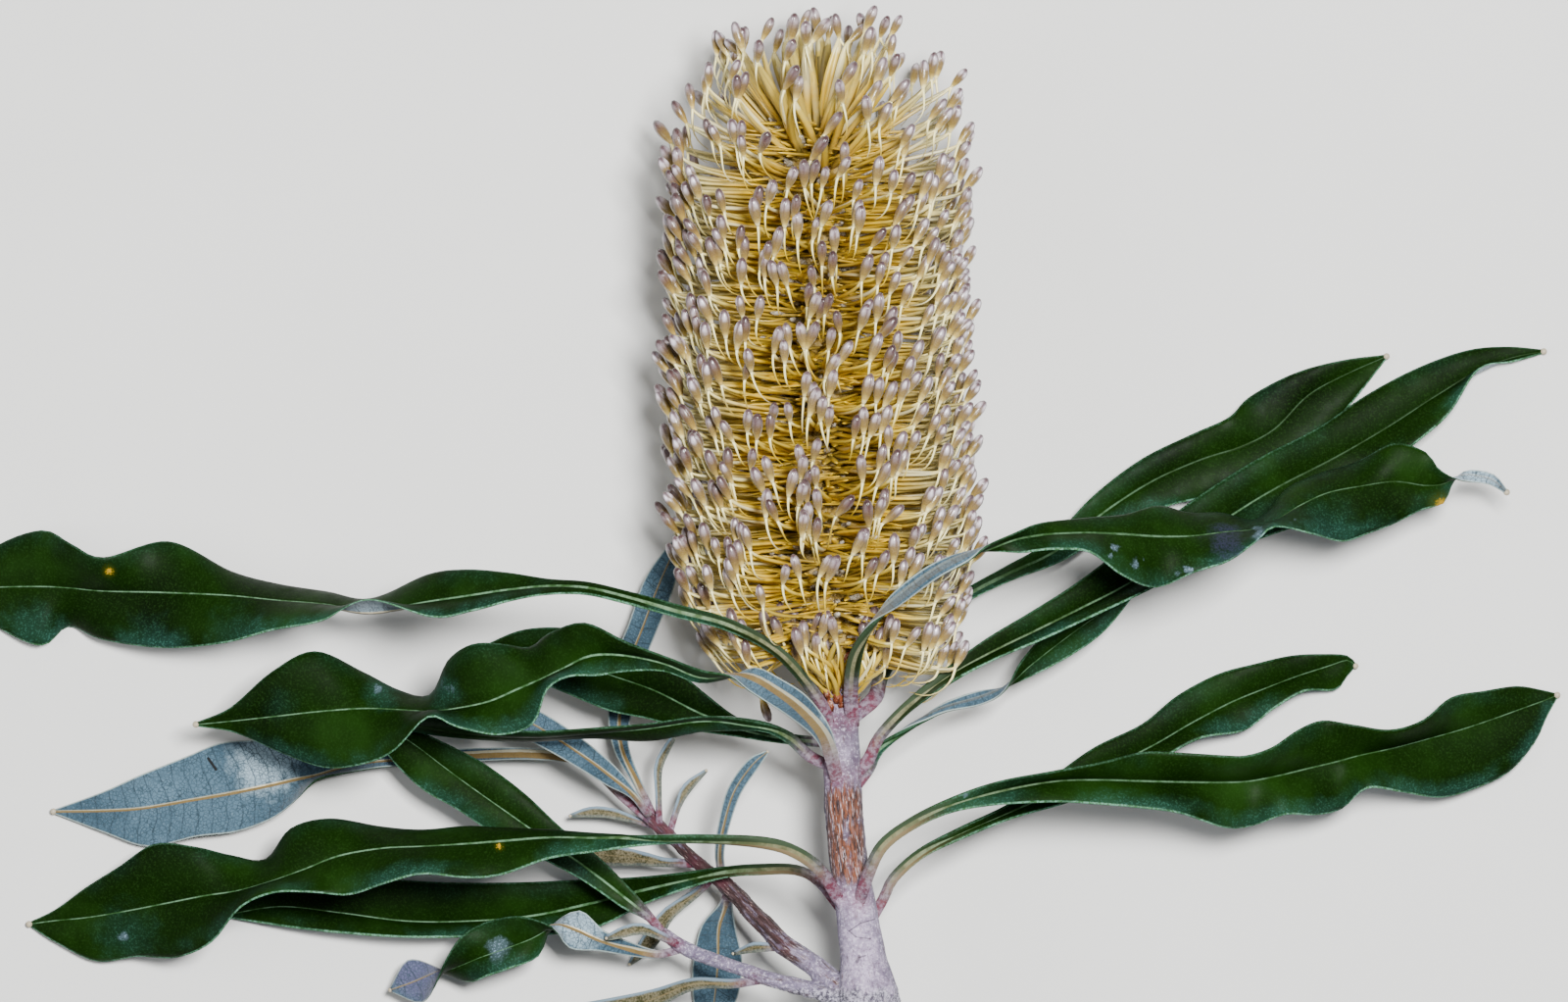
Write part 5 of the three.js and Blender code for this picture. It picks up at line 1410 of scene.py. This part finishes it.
def to_world(local, angle, is_direction=False):
    """From (out, up, sideways) in each floret's plane to x, y and z."""
    shape = (-1,) + (1,) * (local.ndim - 2)
    cosine, sine = np.cos(angle).reshape(shape), np.sin(angle).reshape(shape)
    out, up, aside = local[..., 0], local[..., 1], local[..., 2]
    x = out * cosine - aside * sine
    z = out * sine + aside * cosine
    if is_direction:
        return np.stack([x, up, z], axis=-1)
    return np.stack([x + axis_at(up, 0), up, np.maximum(z + AXIS_HEIGHT, 0.0)], axis=-1)


RIBBON_STEPS = np.array([0, 0.14, 0.28, 0.42, 0.56, 0.68, 0.79, 0.88, 0.95, 1])
STYLE_STEPS = np.array([0, 0.12, 0.24, 0.36, 0.48, 0.6, 0.72, 0.86, 1])
ribbon_controls, style_controls, bud_foot, bud_aim = plane_paths()
ribbon_planes = [bezier(controls, RIBBON_STEPS) for controls in ribbon_controls]
style_plane = bezier(style_controls, STYLE_STEPS)
bud_spots = np.array([0, 0.5, 1]) * FLORET["bud"]
bud_plane = bud_foot[:, None] + bud_aim[:, None] * bud_spots[None, :, None]
print("mean way from root to elbow in mm:", round(float(reach.mean()), 1))

# %% [markdown]
# ## Clear of the leaves
# A few leaves cross the spike. Florets that would run into one are turned a little round the spike until
# they are clear, and left out where no turn helps. A search tree of points on the leaves tells how far
# the nearest one is without measuring them all.

# %% Swing florets clear of the leaves
SWINGS = (0, 0.07, -0.07, 0.14, -0.14, 0.2, -0.2)  # tried one after another, in radians
NEAR_SPIKE = {"x": 42, "low": -78, "high": 76}  # leaves matter within this box, in mm
SHARES_OF_BLADE = np.linspace(0, 1, 6)  # from the rib to a margin
leaf_points = []
for stations in LEAVES.values():
    rib, margin_a, margin_b = leaf_rows(stations)[:3]
    for share in SHARES_OF_BLADE:
        leaf_points += [*(rib + margin_a * share), *(rib + margin_b * share)]
low, high = NEAR_SPIKE["low"], NEAR_SPIKE["high"]
leaf_points = [spot for spot in leaf_points if abs(spot[0]) < NEAR_SPIKE["x"] and low < spot[1] < high]
tree = kdtree.KDTree(len(leaf_points))
for index, spot in enumerate(leaf_points):
    tree.insert(spot, index)
tree.balance()


def is_clear(number, turn):
    """True when floret number, at the angle turn, keeps off every leaf."""
    for plane in (*ribbon_planes, style_plane, bud_plane):
        path = to_world(plane[number : number + 1], np.array([turn]))[0]
        between = (path[1:] + path[:-1]) / 2
        for spot in (*path[2:], *between[2:]) if len(path) > 3 else path:
            if tree.find(spot)[2] < LEAF_ROOM:
                return False
    return True


kept = []
for number in np.flatnonzero(grown):
    for swing in SWINGS:
        if is_clear(number, angle[number] + swing):
            angle[number] += swing
            kept.append(number)
            break
kept = np.array(kept)
print("florets kept:", len(kept), "of", count)

# %% [markdown]
# ## Templates
# There are hundreds of stalks, styles and buds, so each is modelled once, as a slender form extruded
# from a circle, with few faces. The copies are then laid along the paths: a template's height says how
# far along the path a point lies, and its width is measured across the path there.


# %% Grow a template by extrusion
def template(name, sides, levels):
    """Points and faces of a form extruded from a circle; levels are (height, radius)."""
    alone()
    base, radius = levels[0]
    bpy.ops.mesh.primitive_circle_add(vertices=sides, radius=radius, fill_type="NGON", location=(0, 0, base))
    form = bpy.context.object
    form.name = name
    bpy.ops.object.transform_apply(location=True)
    bpy.ops.object.mode_set(mode="EDIT")
    bpy.ops.mesh.select_all(action="SELECT")
    for (low, thin), (high, thick) in zip(levels, levels[1:]):
        bpy.ops.mesh.extrude_region_move(TRANSFORM_OT_translate={"value": (0, 0, high - low)})
        growth = thick / thin
        bpy.ops.transform.resize(value=(growth, growth, 1), center_override=(0, 0, high))
    bpy.ops.mesh.select_all(action="SELECT")
    bpy.ops.mesh.normals_make_consistent(inside=False)
    bpy.ops.object.mode_set(mode="OBJECT")
    points = np.array([vertex.co[:] for vertex in form.data.vertices])
    faces = [list(face.vertices) for face in form.data.polygons]
    bpy.data.objects.remove(form)
    print(name, "template faces:", len(faces))
    return points, faces


# %% Lay copies of a template
def lay_copies(name, faces, points, attributes):
    """One piece of many copies: points has a row of places in mm for each copy."""
    copies, size = points.shape[:2]
    mesh = bpy.data.meshes.new(name)
    every = [[corner + size * i for corner in face] for i in range(copies) for face in faces]
    mesh.from_pydata((points.reshape(-1, 3) * MM).tolist(), [], every)
    for label, values in attributes.items():
        add_attribute(mesh, label, np.broadcast_to(values, (copies, size, values.shape[-1])))
    mesh.shade_smooth()
    piece = bpy.data.objects.new(name, mesh)
    bpy.context.scene.collection.objects.link(piece)
    print(name, "faces:", len(every))
    return piece


def along_paths(form, paths, steps, across, half_width, half_thickness):
    """Lays a template with one level for each step along paths, flat across the given direction."""
    level = np.argmin(np.abs(form[:, 2:3] - steps[None]), axis=1)
    ahead = np.minimum(np.arange(len(steps)) + 1, len(steps) - 1)
    behind = np.maximum(np.arange(len(steps)) - 1, 0)
    flow = unit(paths[:, ahead] - paths[:, behind])
    broad = unit(across[:, None] - flow * np.sum(flow * across[:, None], axis=2, keepdims=True))
    thick = np.cross(flow, broad)
    wide = form[None, :, 0:1] * half_width[:, level][..., None]
    deep = form[None, :, 1:2] * half_thickness[:, level][..., None]
    return paths[:, level] + broad[:, level] * wide + thick[:, level] * deep


def left_to_bud(paths, form, steps):
    """How far each point of each copy is from the bud's foot, in mm along its path."""
    lengths = np.linalg.norm(np.diff(paths, axis=1), axis=2)
    left = np.concatenate([np.cumsum(lengths[:, ::-1], axis=1)[:, ::-1], np.zeros((len(paths), 1))], axis=1)
    level = np.argmin(np.abs(form[:, 2:3] - steps[None]), axis=1)
    return left[:, level, None]


def standing(form, feet, out, across, length, width, depth):
    """A copy of a form on each foot, its height along out and its width across."""
    deep = np.cross(out, across)
    return (
        feet[:, None]
        + out[:, None] * form[None, :, 2:3] * length
        + across[:, None] * form[None, :, 0:1] * width
        + deep[:, None] * form[None, :, 1:2] * depth
    )


# %% [markdown]
# ## Ribbons
# The claw of a floret is a thin flat strip that has split in two. A template laid along each path can be
# flat and has few faces, unlike a curve with a bevel. The ribbons of the crown are broader. Each keeps
# its distance from the bud, for the colours.

# %% Ribbons
RIBBON_WIDTH = np.array([0.46, 0.56, 0.62, 0.66, 0.66, 0.6, 0.5, 0.4, 0.3, 0.22])  # half, at each step
RIBBON_DEPTH = np.array([0.3, 0.36, 0.4, 0.42, 0.42, 0.38, 0.33, 0.28, 0.24, 0.2])
BROADER = {"crown": 1.3, "spread": 0.22}  # shares of the width
LEAST_HEIGHT = 0.3  # of a thread's points over the table, in mm

turns = angle[kept]
around = about_axis(turns, around=1)
ribbon_form, ribbon_faces = template("ribbon", 4, [(step, 1) for step in RIBBON_STEPS])
ribbon_paths = np.concatenate([to_world(plane[kept], turns) for plane in ribbon_planes])
broader = 1 + BROADER["crown"] * np.tile(crown[kept], 2) ** 2 + draw(2 * len(kept), BROADER["spread"])
broader = broader[:, None]
half_sizes = (RIBBON_WIDTH * broader, RIBBON_DEPTH / broader**0.3)
twice_around = np.tile(around, (2, 1))
ribbon_points = along_paths(ribbon_form, ribbon_paths, RIBBON_STEPS, twice_around, *half_sizes)
ribbon_points[..., 2] = np.maximum(ribbon_points[..., 2], LEAST_HEIGHT)
own = {
    "shade": random.uniform(0, 1, (2 * len(kept), 1, 1)),
    "crown": np.tile(crown[kept], 2)[:, None, None],
    "left": left_to_bud(ribbon_paths, ribbon_form, RIBBON_STEPS),
}
stalks = lay_copies("floret_stalks", ribbon_faces, ribbon_points, own)


# %% [markdown]
# ## Inner ribbons
# Deep between the florets the spike is full of short strips, so that its axis hardly shows. Whole florets
# would be wasted there, and plain short strips look the same. Every second one lies across the others,
# which gives the tangle of a real spike.

# %% Inner ribbons
INNER = {
    "count": 2200, "low": -61, "high": 44, "reach": (9, 18), "aside": 7, "up": 2.2,
    "width": 0.75, "depth": 0.32,
}
INNER_SPREAD = {"angle": 0.4, "height": 1.5, "width": 0.3}
CROSSING = {"every": 2, "reach": (5, 12), "aside": 15, "bow": 0.35}  # those that lie across the others
INNER_STEPS = np.array([0, 0.3, 0.6, 0.85, 1])
INNER_TAPER = np.array([[0.7, 1, 1, 0.7, 0.25]])
PAST_BUD = 11  # their tips are painted like an outer ribbon this far from its bud, in mm

inner_turn = np.arange(INNER["count"]) * GOLDEN_ANGLE + draw(INNER["count"], INNER_SPREAD["angle"])
inner_height = np.linspace(INNER["low"], INNER["high"], INNER["count"])
inner_height += draw(INNER["count"], INNER_SPREAD["height"])
pull_up, pull_aside, pull_width = draw((3, INNER["count"]), 1.0)
inner_root = axis_at(inner_height, 3) - ROOTS["sunk"]
inner_reach = random.uniform(*INNER["reach"], INNER["count"])
inner_aside = INNER["aside"] * pull_aside
crossing = np.arange(INNER["count"]) % CROSSING["every"] == 0
inner_reach[crossing] = random.uniform(*CROSSING["reach"], crossing.sum())
inner_aside[crossing] = CROSSING["aside"] * pull_aside[crossing]
inner_reach *= 1 - 0.5 * smooth(48, 64, -inner_height)
steps = INNER_STEPS[None]
inner_plane = np.stack(
    [
        inner_root[:, None] + inner_reach[:, None] * steps,
        inner_height[:, None] + (INNER["up"] * pull_up)[:, None] * steps,
        inner_aside[:, None] * (steps - CROSSING["bow"] * crossing[:, None]),
    ],
    axis=-1,
)
inner_form, inner_faces = template("inner_ribbon", 4, [(step, 1) for step in INNER_STEPS])
inner_paths = to_world(inner_plane, inner_turn)
inner_around = about_axis(inner_turn, around=1)
taper = INNER_TAPER * (1 + INNER_SPREAD["width"] * pull_width)[:, None]
half_sizes = (INNER["width"] * taper, INNER["depth"] * taper)
inner_points = along_paths(inner_form, inner_paths, INNER_STEPS, inner_around, *half_sizes)
own = {
    "shade": random.uniform(0.1, 1, (INNER["count"], 1, 1)),
    "crown": np.zeros((1, 1, 1)),
    "left": left_to_bud(inner_paths, inner_form, INNER_STEPS) + PAST_BUD,
}
inner = lay_copies("inner_ribbons", inner_faces, inner_points, own)


# %% [markdown]
# ## Styles
# A style is a wire that grows thicker towards the bud. It is laid along its path as the ribbons are. One
# floret doesn't follow the rule: it hangs down under a leaf at the spike's foot, so its thread is told by
# four points of its own.

# %% Styles
STYLE = {"radius": 0.2, "root": 0.35, "bud": 1.6}  # in mm, then its share at either end
STRAY = {  # a floret that hangs down under a leaf at the spike's foot
    "thread": [(-5, -62, 37), (-9, -65.5, 36), (-12, -69, 34.5), (-11.7, -72, 33.5)],
    "foot": (-11.7, -72, 33.5),
    "aim": (0.33, -0.94, 0.0),
    "size": 0.95,
    "shades": (0.6, 0.4),  # of its thread and its bud
}
style_form, style_faces = template("style", 4, [(step, 1) for step in STYLE_STEPS])
stray = smooth_rows(np.array(STRAY["thread"], float), 20)
even = np.linspace(0, 1, len(stray))
stray = np.stack([np.interp(STYLE_STEPS, even, stray[:, part]) for part in range(3)], axis=1)
style_paths = np.concatenate([to_world(style_plane[kept], turns), stray[None]])
girths = STYLE["radius"] * np.linspace(STYLE["root"], STYLE["bud"], len(STYLE_STEPS))
girths = np.tile(girths, (len(style_paths), 1))
style_around = np.vstack([around, [[0, 0, 1]]])
style_points = along_paths(style_form, style_paths, STYLE_STEPS, style_around, girths, girths)
style_points[..., 2] = np.maximum(style_points[..., 2], LEAST_HEIGHT)
own = {
    "shade": np.append(shade[kept], STRAY["shades"][0])[:, None, None],
    "crown": np.append(crown[kept], 0)[:, None, None],
    "left": left_to_bud(style_paths, style_form, STYLE_STEPS),
}
styles = lay_copies("floret_styles", style_faces, style_points, own)


# %% [markdown]
# ## Buds
# A bud is a slim club: it widens to beyond its middle and closes in a blunt end. One is modelled, and a
# copy stands at the end of each path, turned the way that its floret looks. The spike rests on the buds
# beneath it, so those are lifted to the table and pressed flat on it.

# %% Buds
BUD_LEVELS = [  # share of the length, and radius there
    (0, 0.3), (0.08, 0.42), (0.2, 0.62), (0.36, 0.86), (0.56, 1.0), (0.76, 0.96), (0.91, 0.7), (1, 0.3),
]
LEVEL_UNDER = 3  # a bud whose foot is lower than this, in mm, points no further down
bud_form, bud_faces = template("bud", 7, BUD_LEVELS)
bud_dirs = np.vstack([to_world(bud_aim[kept], turns, is_direction=True), STRAY["aim"]])
bud_feet = np.vstack([to_world(bud_foot[kept], turns), STRAY["foot"]])
bud_feet[:, 2] = np.maximum(bud_feet[:, 2], FLORET["girth"])
level = np.maximum(bud_dirs[:, 2], 0)
bud_dirs[:, 2] = np.where(bud_feet[:, 2] < LEVEL_UNDER, level, bud_dirs[:, 2])
bud_dirs = unit(bud_dirs)
bud_across = unit(style_around - bud_dirs * np.sum(style_around * bud_dirs, axis=1, keepdims=True))
bud_size = np.append(size[kept], STRAY["size"])[:, None, None]
girth = FLORET["girth"] * bud_size
bud_points = standing(bud_form, bud_feet, bud_dirs, bud_across, FLORET["bud"] * bud_size, girth, girth)
bud_points[..., 2] = np.maximum(bud_points[..., 2], TABLE_GAP)
own = {"form": bud_form, "shade": np.append(shade[kept], STRAY["shades"][1])[:, None, None]}
buds = lay_copies("floret_buds", bud_faces, bud_points, own)


# %% [markdown]
# ## Woody axis and wool
# Between the florets' roots the axis is covered with grey-brown woolly bracts, which show where the
# florets part. The axis is rolled round its own line, and a woolly tuft stands at the foot of each pair.

# %% Axis and tufts
AXIS = {"spacing": 1.5, "sides": 40, "rough": 0.06}
TUFT = {"length": 7.4, "width": 0.6, "depth": 0.5, "size": (0.8, 1.25)}  # in mm, then its share
UNEVEN = {"height": 0.9, "angle": 0.2, "width": 0.25}  # how much tufts differ
STANCE = {"below": 0.8, "sunk": 1, "rise": 0.15, "crown_rise": 1.2, "crown": (30, 50)}
TUFT_LEVELS = [(0, 0.7), (0.5, 0.9), (0.75, 1.1), (0.92, 0.8), (1, 0.3)]

axis_rows = smooth_rows(np.array(AXIS_WOOD, float), AXIS["spacing"])
axis_turn = np.linspace(0, 2 * math.pi, AXIS["sides"], endpoint=False)
rough = 1 + draw((len(axis_rows), AXIS["sides"], 1), AXIS["rough"])
axis_points = axis_rows[:, None, :3] + about_axis(axis_turn, out=1)[None] * axis_rows[:, None, 3:4] * rough
axis_piece = rolled_skin("spike_axis", axis_points, {})
close_skin(axis_piece)

tuft_form, tuft_faces = template("tuft", 6, TUFT_LEVELS)
tuft_turn = np.arange(PAIRS) * GOLDEN_ANGLE + draw(PAIRS, UNEVEN["angle"])
tuft_height = pair_height[::2] - STANCE["below"] + draw(PAIRS, UNEVEN["height"])
tuft_rise = STANCE["rise"] + STANCE["crown_rise"] * smooth(*STANCE["crown"], tuft_height)
tuft_out = unit(about_axis(tuft_turn, out=1, up=tuft_rise))
tuft_root = np.interp(tuft_height, axis_rows[:, 1], axis_rows[:, 3]) - STANCE["sunk"]
tuft_foot = about_axis(tuft_turn, out=tuft_root)
tuft_foot += np.stack([axis_at(tuft_height, 0), tuft_height, np.full(PAIRS, AXIS_HEIGHT)], axis=1)
tuft_size = random.uniform(*TUFT["size"], PAIRS)[:, None, None]
ragged = tuft_size * (1 + draw((PAIRS, len(tuft_form), 1), UNEVEN["width"]))
sizes = (TUFT["length"] * tuft_size, TUFT["width"] * ragged, TUFT["depth"] * ragged)
tuft_points = standing(tuft_form, tuft_foot, tuft_out, about_axis(tuft_turn, around=1), *sizes)
own = {"shade": random.uniform(0, 1, (PAIRS, 1, 1))}
tufts = lay_copies("bract_wool", tuft_faces, tuft_points, own)


# %% [markdown]
# ## Scales at the foot of the spike
# Small brown scales sheathe the stem under the spike. They could be cut out of the wood, but they stand
# off it like shingles, so a flat pointed form is laid in the same spiral, pointing steeply upwards.

# %% Scales at the foot of the spike
SCALES = {
    "count": 46, "low": -76, "high": -66, "length": 3.8, "width": 1.25, "depth": 0.32, "rise": 2.0,
    "stem": (3.6, 3),  # the stem's x and radius there
    "angle_spread": 0.3, "height_spread": 0.7, "size": (0.75, 1.25),
}
scale_form, scale_faces = template("scale", 6, [(0, 0.6), (0.35, 1), (0.7, 0.8), (1, 0.15)])
scale_turn = np.arange(SCALES["count"]) * GOLDEN_ANGLE + draw(SCALES["count"], SCALES["angle_spread"])
scale_height = np.linspace(SCALES["low"], SCALES["high"], SCALES["count"])
scale_height += draw(SCALES["count"], SCALES["height_spread"])
scale_out = unit(about_axis(scale_turn, out=1, up=SCALES["rise"]))
stem_x, stem_radius = SCALES["stem"]
scale_foot = about_axis(scale_turn, out=stem_radius, up=scale_height) + [stem_x, 0, AXIS_HEIGHT]
scale_size = random.uniform(*SCALES["size"], (SCALES["count"], 1, 1))
sizes = (SCALES["length"] * scale_size, SCALES["width"] * scale_size, SCALES["depth"])
scale_points = standing(scale_form, scale_foot, scale_out, about_axis(scale_turn, around=1), *sizes)
scales = lay_copies("foot_scales", scale_faces, scale_points, {})


# %% [markdown]
# ## Finishes of the ribbons and styles
# The threads are deep gold near the axis, with brighter yellow patches of painted light. Near the buds
# they turn silvery, on the spike's sides as a painted sheen and in the crown in colour, a few are painted
# with whitish glints, and they end pale at the bud. Each thread carries three numbers for this: how far a
# point is from its bud, a shade of its own and how much it belongs to the crown. Two materials share one
# recipe, because styles are paler than ribbons.


# %% Finish of ribbons and styles
GOLD = {"deep": (172, 144, 54), "middle": (206, 168, 40), "outer": (204, 180, 74)}
PALE_FOOT = {"ribbon": ((226, 210, 140), 1.6), "style": ((252, 240, 172), 5.0)}  # colour and reach


def thread_finish(name, pale, reach):
    """Deep gold near the root, then middle and outer, and pale within reach mm of the bud."""
    recipe = Recipe(name)
    mix, band = recipe.mix, recipe.band
    where = recipe.place()
    left, shade, crown = [recipe.attribute(label) for label in ("left", "shade", "crown")]
    fine = recipe.clouds(where, 1.1, 3.0)
    patch = recipe.clouds(where, 8, 2.0)
    sideways = abs(recipe.split(where)[0])
    # painted sheen: threads near the buds on the spike's sides are painted silvery; in the crown the silver
    # is their colour
    painted_sheen_and_crown_silver = band(sideways + (shade - 0.5) * 8, 13, 26, 0.0, 0.85) * band(left, 14, 22, 1.0, 0.0)
    painted_sheen_and_crown_silver = (painted_sheen_and_crown_silver + crown * band(shade + (fine - 0.5) * 0.6, 0.15, 0.6, 0.0, 0.6)).clamped()
    colour = recipe.layers(
        mix(band(left + (fine - 0.5) * 6, 10, 20, 1.0, 0.0), GOLD["deep"], GOLD["middle"]),
        # painted light: bright yellow patches where ribbons catch the lamp directly
        (band(patch + (shade - 0.5) * 0.35, 0.5, 0.62, 0.0, 0.8), (246, 204, 30)),
        (band(left + (shade - 0.5) * 5, 2, 10, 1.0, 0.0) * 0.75, GOLD["outer"]),
        (painted_sheen_and_crown_silver, mix(fine, (142, 136, 84), (204, 198, 156))),
        (band(shade, 0.45, 0.95, 0.0, 0.8) * 0.8, (132, 112, 44)),
        # painted glints: a few threads are painted whitish near their bud
        (band(shade, 0.1, 0.16, 0.55, 0.0) * band(left, 8, 16, 1.0, 0.0), (220, 220, 190)),
        (band(left + (shade - 0.5) * 3 - crown * 1.6, reach * 0.4, reach, 1.0, 0.0), pale),
    )
    return recipe.finish(
        Base_Color=colour,
        Roughness=0.36,
        Normal=recipe.relief(recipe.clouds(where, 0.4, 2.0) * 0.05, 0.6),
        Subsurface_Weight=0.1,
        Subsurface_Radius=(1.0, 0.7, 0.3),
        Subsurface_Scale=0.6 * MM,
    )


stalks.data.materials.append(thread_finish("floret_gold", *PALE_FOOT["ribbon"]))
inner.data.materials.append(stalks.data.materials[0])
styles.data.materials.append(thread_finish("style_yellow", *PALE_FOOT["style"]))
print("threads:", [piece.active_material.name for piece in (stalks, inner, styles)])


# %% [markdown]
# ## Finish of the buds
# A bud is cream at its foot, tan and olive-brown above, lilac-grey near its end and dark at the very tip,
# with dark seams between its four lobes. Two ramps along the bud, a lilac one and a brown one, are
# blended by each bud's own shade. A painted highlight lies on the lobes' ridges near the end, whiter on
# the spike's sides; painted light makes the buds on the right paler, and those of the crown are paler too.
# It is glossier than the threads.

# %% Finish of the buds
LILAC_BUD = (  # share of the bud's length and colour there
    (0.02, (244, 230, 166)), (0.14, (190, 166, 92)), (0.32, (132, 110, 58)),
    (0.56, (118, 98, 66)), (0.8, (132, 116, 122)), (1.0, (74, 52, 52)),
)
BROWN_BUD = (
    (0.02, (214, 182, 96)), (0.22, (150, 124, 60)), (0.5, (100, 78, 46)), (0.8, (78, 54, 50)),
    (1.0, (52, 32, 32)),
)


def bud_finish():
    recipe = Recipe("bud_lilac")
    mix, band = recipe.mix, recipe.band
    where = recipe.place()
    x, y = recipe.split(where)[:2]
    broad, deep, along = recipe.split(recipe.attribute("form", "Vector"))
    # paler on the right as painted light from the lamp's side, and paler in the crown
    painted_light_and_pale_crown = band(x, 12, 28, 0.0, 0.35) + band(y, 44, 62, 0.0, 0.35)  # on the right and in the crown
    shade = (recipe.attribute("shade") - painted_light_and_pale_crown).clamped()
    fine = recipe.clouds(where, 0.8, 4.0)
    hairs = recipe.clouds(where, 0.25, 2.0)
    level = along + (fine - 0.5) * 0.24 + (shade - 0.5) * 0.12
    ridge = abs(broad * deep)  # 0 on the seams between the four lobes
    # painted highlight: the ridges near the bud's end are painted whiter, most on buds of pale shade
    lit = band(ridge, 0.1, 0.36) * band(level, 0.54, 0.86) * band(shade, 0.05, 0.8, 1.0, 0.1)
    seam = band(ridge, 0.0, 0.11, 1.0, 0.0) * band(along, 0.35, 0.65)
    colour = recipe.layers(
        recipe.ramp(level, *LILAC_BUD),
        (band(shade, 0.45, 0.9, 0.0, 0.9), recipe.ramp(level, *BROWN_BUD)),
        # the painted highlight is whiter on the spike's sides
        (lit, mix(band(abs(x), 10, 28), (196, 184, 186), (240, 232, 242))),
        (seam * 0.6, (70, 50, 54)),
    )
    return recipe.finish(
        Base_Color=colour,
        Roughness=band(hairs, 0.3, 0.7, 0.16, 0.34),
        Specular_IOR_Level=0.6,
        Normal=recipe.relief(hairs * 0.04 - seam * 0.08, 0.7),
        Subsurface_Weight=0.15,
        Subsurface_Radius=(1.0, 0.7, 0.5),
        Subsurface_Scale=0.8 * MM,
        Sheen_Weight=0.15,
        Sheen_Roughness=0.4,
    )


buds.data.materials.append(bud_finish())
print("nodes of the buds:", len(buds.active_material.node_tree.nodes))


# %% [markdown]
# ## Finish of axis, wool and scales
# The axis is golden brown, the wool grey-brown with pale tips, the scales rusty. All three are rough and
# fibrous, so one recipe serves them, a fine noise over a coarse one, each with its own ramp. On the axis
# and the wool the ramp's dark end is painted shade in the deep places.

# %% Finish of axis, wool and scales
# on the axis and the wool the dark end of the ramp is painted shade in the deep places
FIBROUS = {  # from the deep places to the raised ones: share of the noise and colour
    "axis_gold": ((0.3, (84, 66, 30)), (0.5, (150, 122, 54)), (0.72, (186, 164, 110))),
    "bract_wool": ((0.32, (56, 44, 32)), (0.48, (132, 120, 98)), (0.62, (206, 200, 184))),
    "rusty_scale": ((0.3, (70, 28, 12)), (0.5, (124, 62, 32)), (0.7, (176, 140, 124))),
}


def fibrous_finish(name):
    recipe = Recipe(name)
    where = recipe.place()
    fibres = recipe.clouds(where, 0.35, 4.0, 0.7)
    patches = recipe.clouds(where, 1.6, 3.0)
    colour = recipe.ramp(patches + (fibres - 0.5) * 0.5, *FIBROUS[name])
    colour = recipe.mix(recipe.band(fibres, 0.58, 0.7, 0.0, 0.6), colour, (224, 220, 214))
    return recipe.finish(
        Base_Color=colour, Roughness=0.9, Normal=recipe.relief(fibres * 0.3), Specular_IOR_Level=0.2
    )


for piece, name in zip((axis_piece, tufts, scales), FIBROUS):
    piece.data.materials.append(fibrous_finish(name))
spike_pieces = (stalks, inner, styles, buds, axis_piece, tufts, scales)
for piece in spike_pieces:
    grow_on(piece, "floret", "flower_spike")
print("pieces of the spike:", len(spike_pieces))


# %% [markdown]
# ## Table
# The stem lies on a plain pale table, a large plane with a faint mottle. It only shows the stem off and
# doesn't belong to the part.

# %% Table
TABLE = {"size": 8, "drop": 0.0002}  # in metres; it lies a hair below the stem

alone()
bpy.ops.mesh.primitive_plane_add(size=TABLE["size"], location=(0, 0, -TABLE["drop"]))
table = bpy.context.object
table.name = "pale_table"


def table_finish():
    recipe = Recipe("pale_table")
    mottle = recipe.clouds(recipe.place(), 60, 4.0)
    colour = recipe.mix(mottle, (208, 208, 205), (216, 216, 213))
    return recipe.finish(Base_Color=colour, Roughness=0.8, Normal=recipe.relief(mottle * 0.05, 0.2))


table.data.materials.append(table_finish())
print("table:", TABLE["size"], "m across")


# %% [markdown]
# ## Lamps and sky
# The shadows are fairly sharp, so one lamp a quarter of a metre wide hangs to the right and towards the
# spike's top. A broader, much weaker one fills in from the left, and a faint sky keeps the shadows open.

# %% Lamps
LAMPS = {  # places and sizes in metres, power in watts
    "key": {"place": (0.2, 0.14, 1.3), "size": 0.26, "power": 46},
    "fill": {"place": (-0.9, -0.1, 0.9), "size": 0.8, "power": 5},
}
SKY = {"colour": (0.93, 0.96, 1.0, 1.0), "strength": 0.22}
AIM = Vector((0, -0.03, 0.02))  # the point that both lamps face, in metres

for lamp_name, lamp in LAMPS.items():
    spot = Vector(lamp["place"])
    facing = (AIM - spot).to_track_quat("-Z", "Y").to_euler()
    bpy.ops.object.light_add(type="AREA", location=spot, rotation=facing)
    light = bpy.context.object
    light.name = lamp_name
    light.data.size = lamp["size"]
    light.data.energy = lamp["power"]
    print(lamp_name, "lamp:", lamp["power"], "W")

world = bpy.data.worlds.new("soft_sky")
bpy.context.scene.world = world
world.use_nodes = True
background = world.node_tree.nodes["Background"]
background.inputs["Color"].default_value = SKY["colour"]
background.inputs["Strength"].default_value = SKY["strength"]
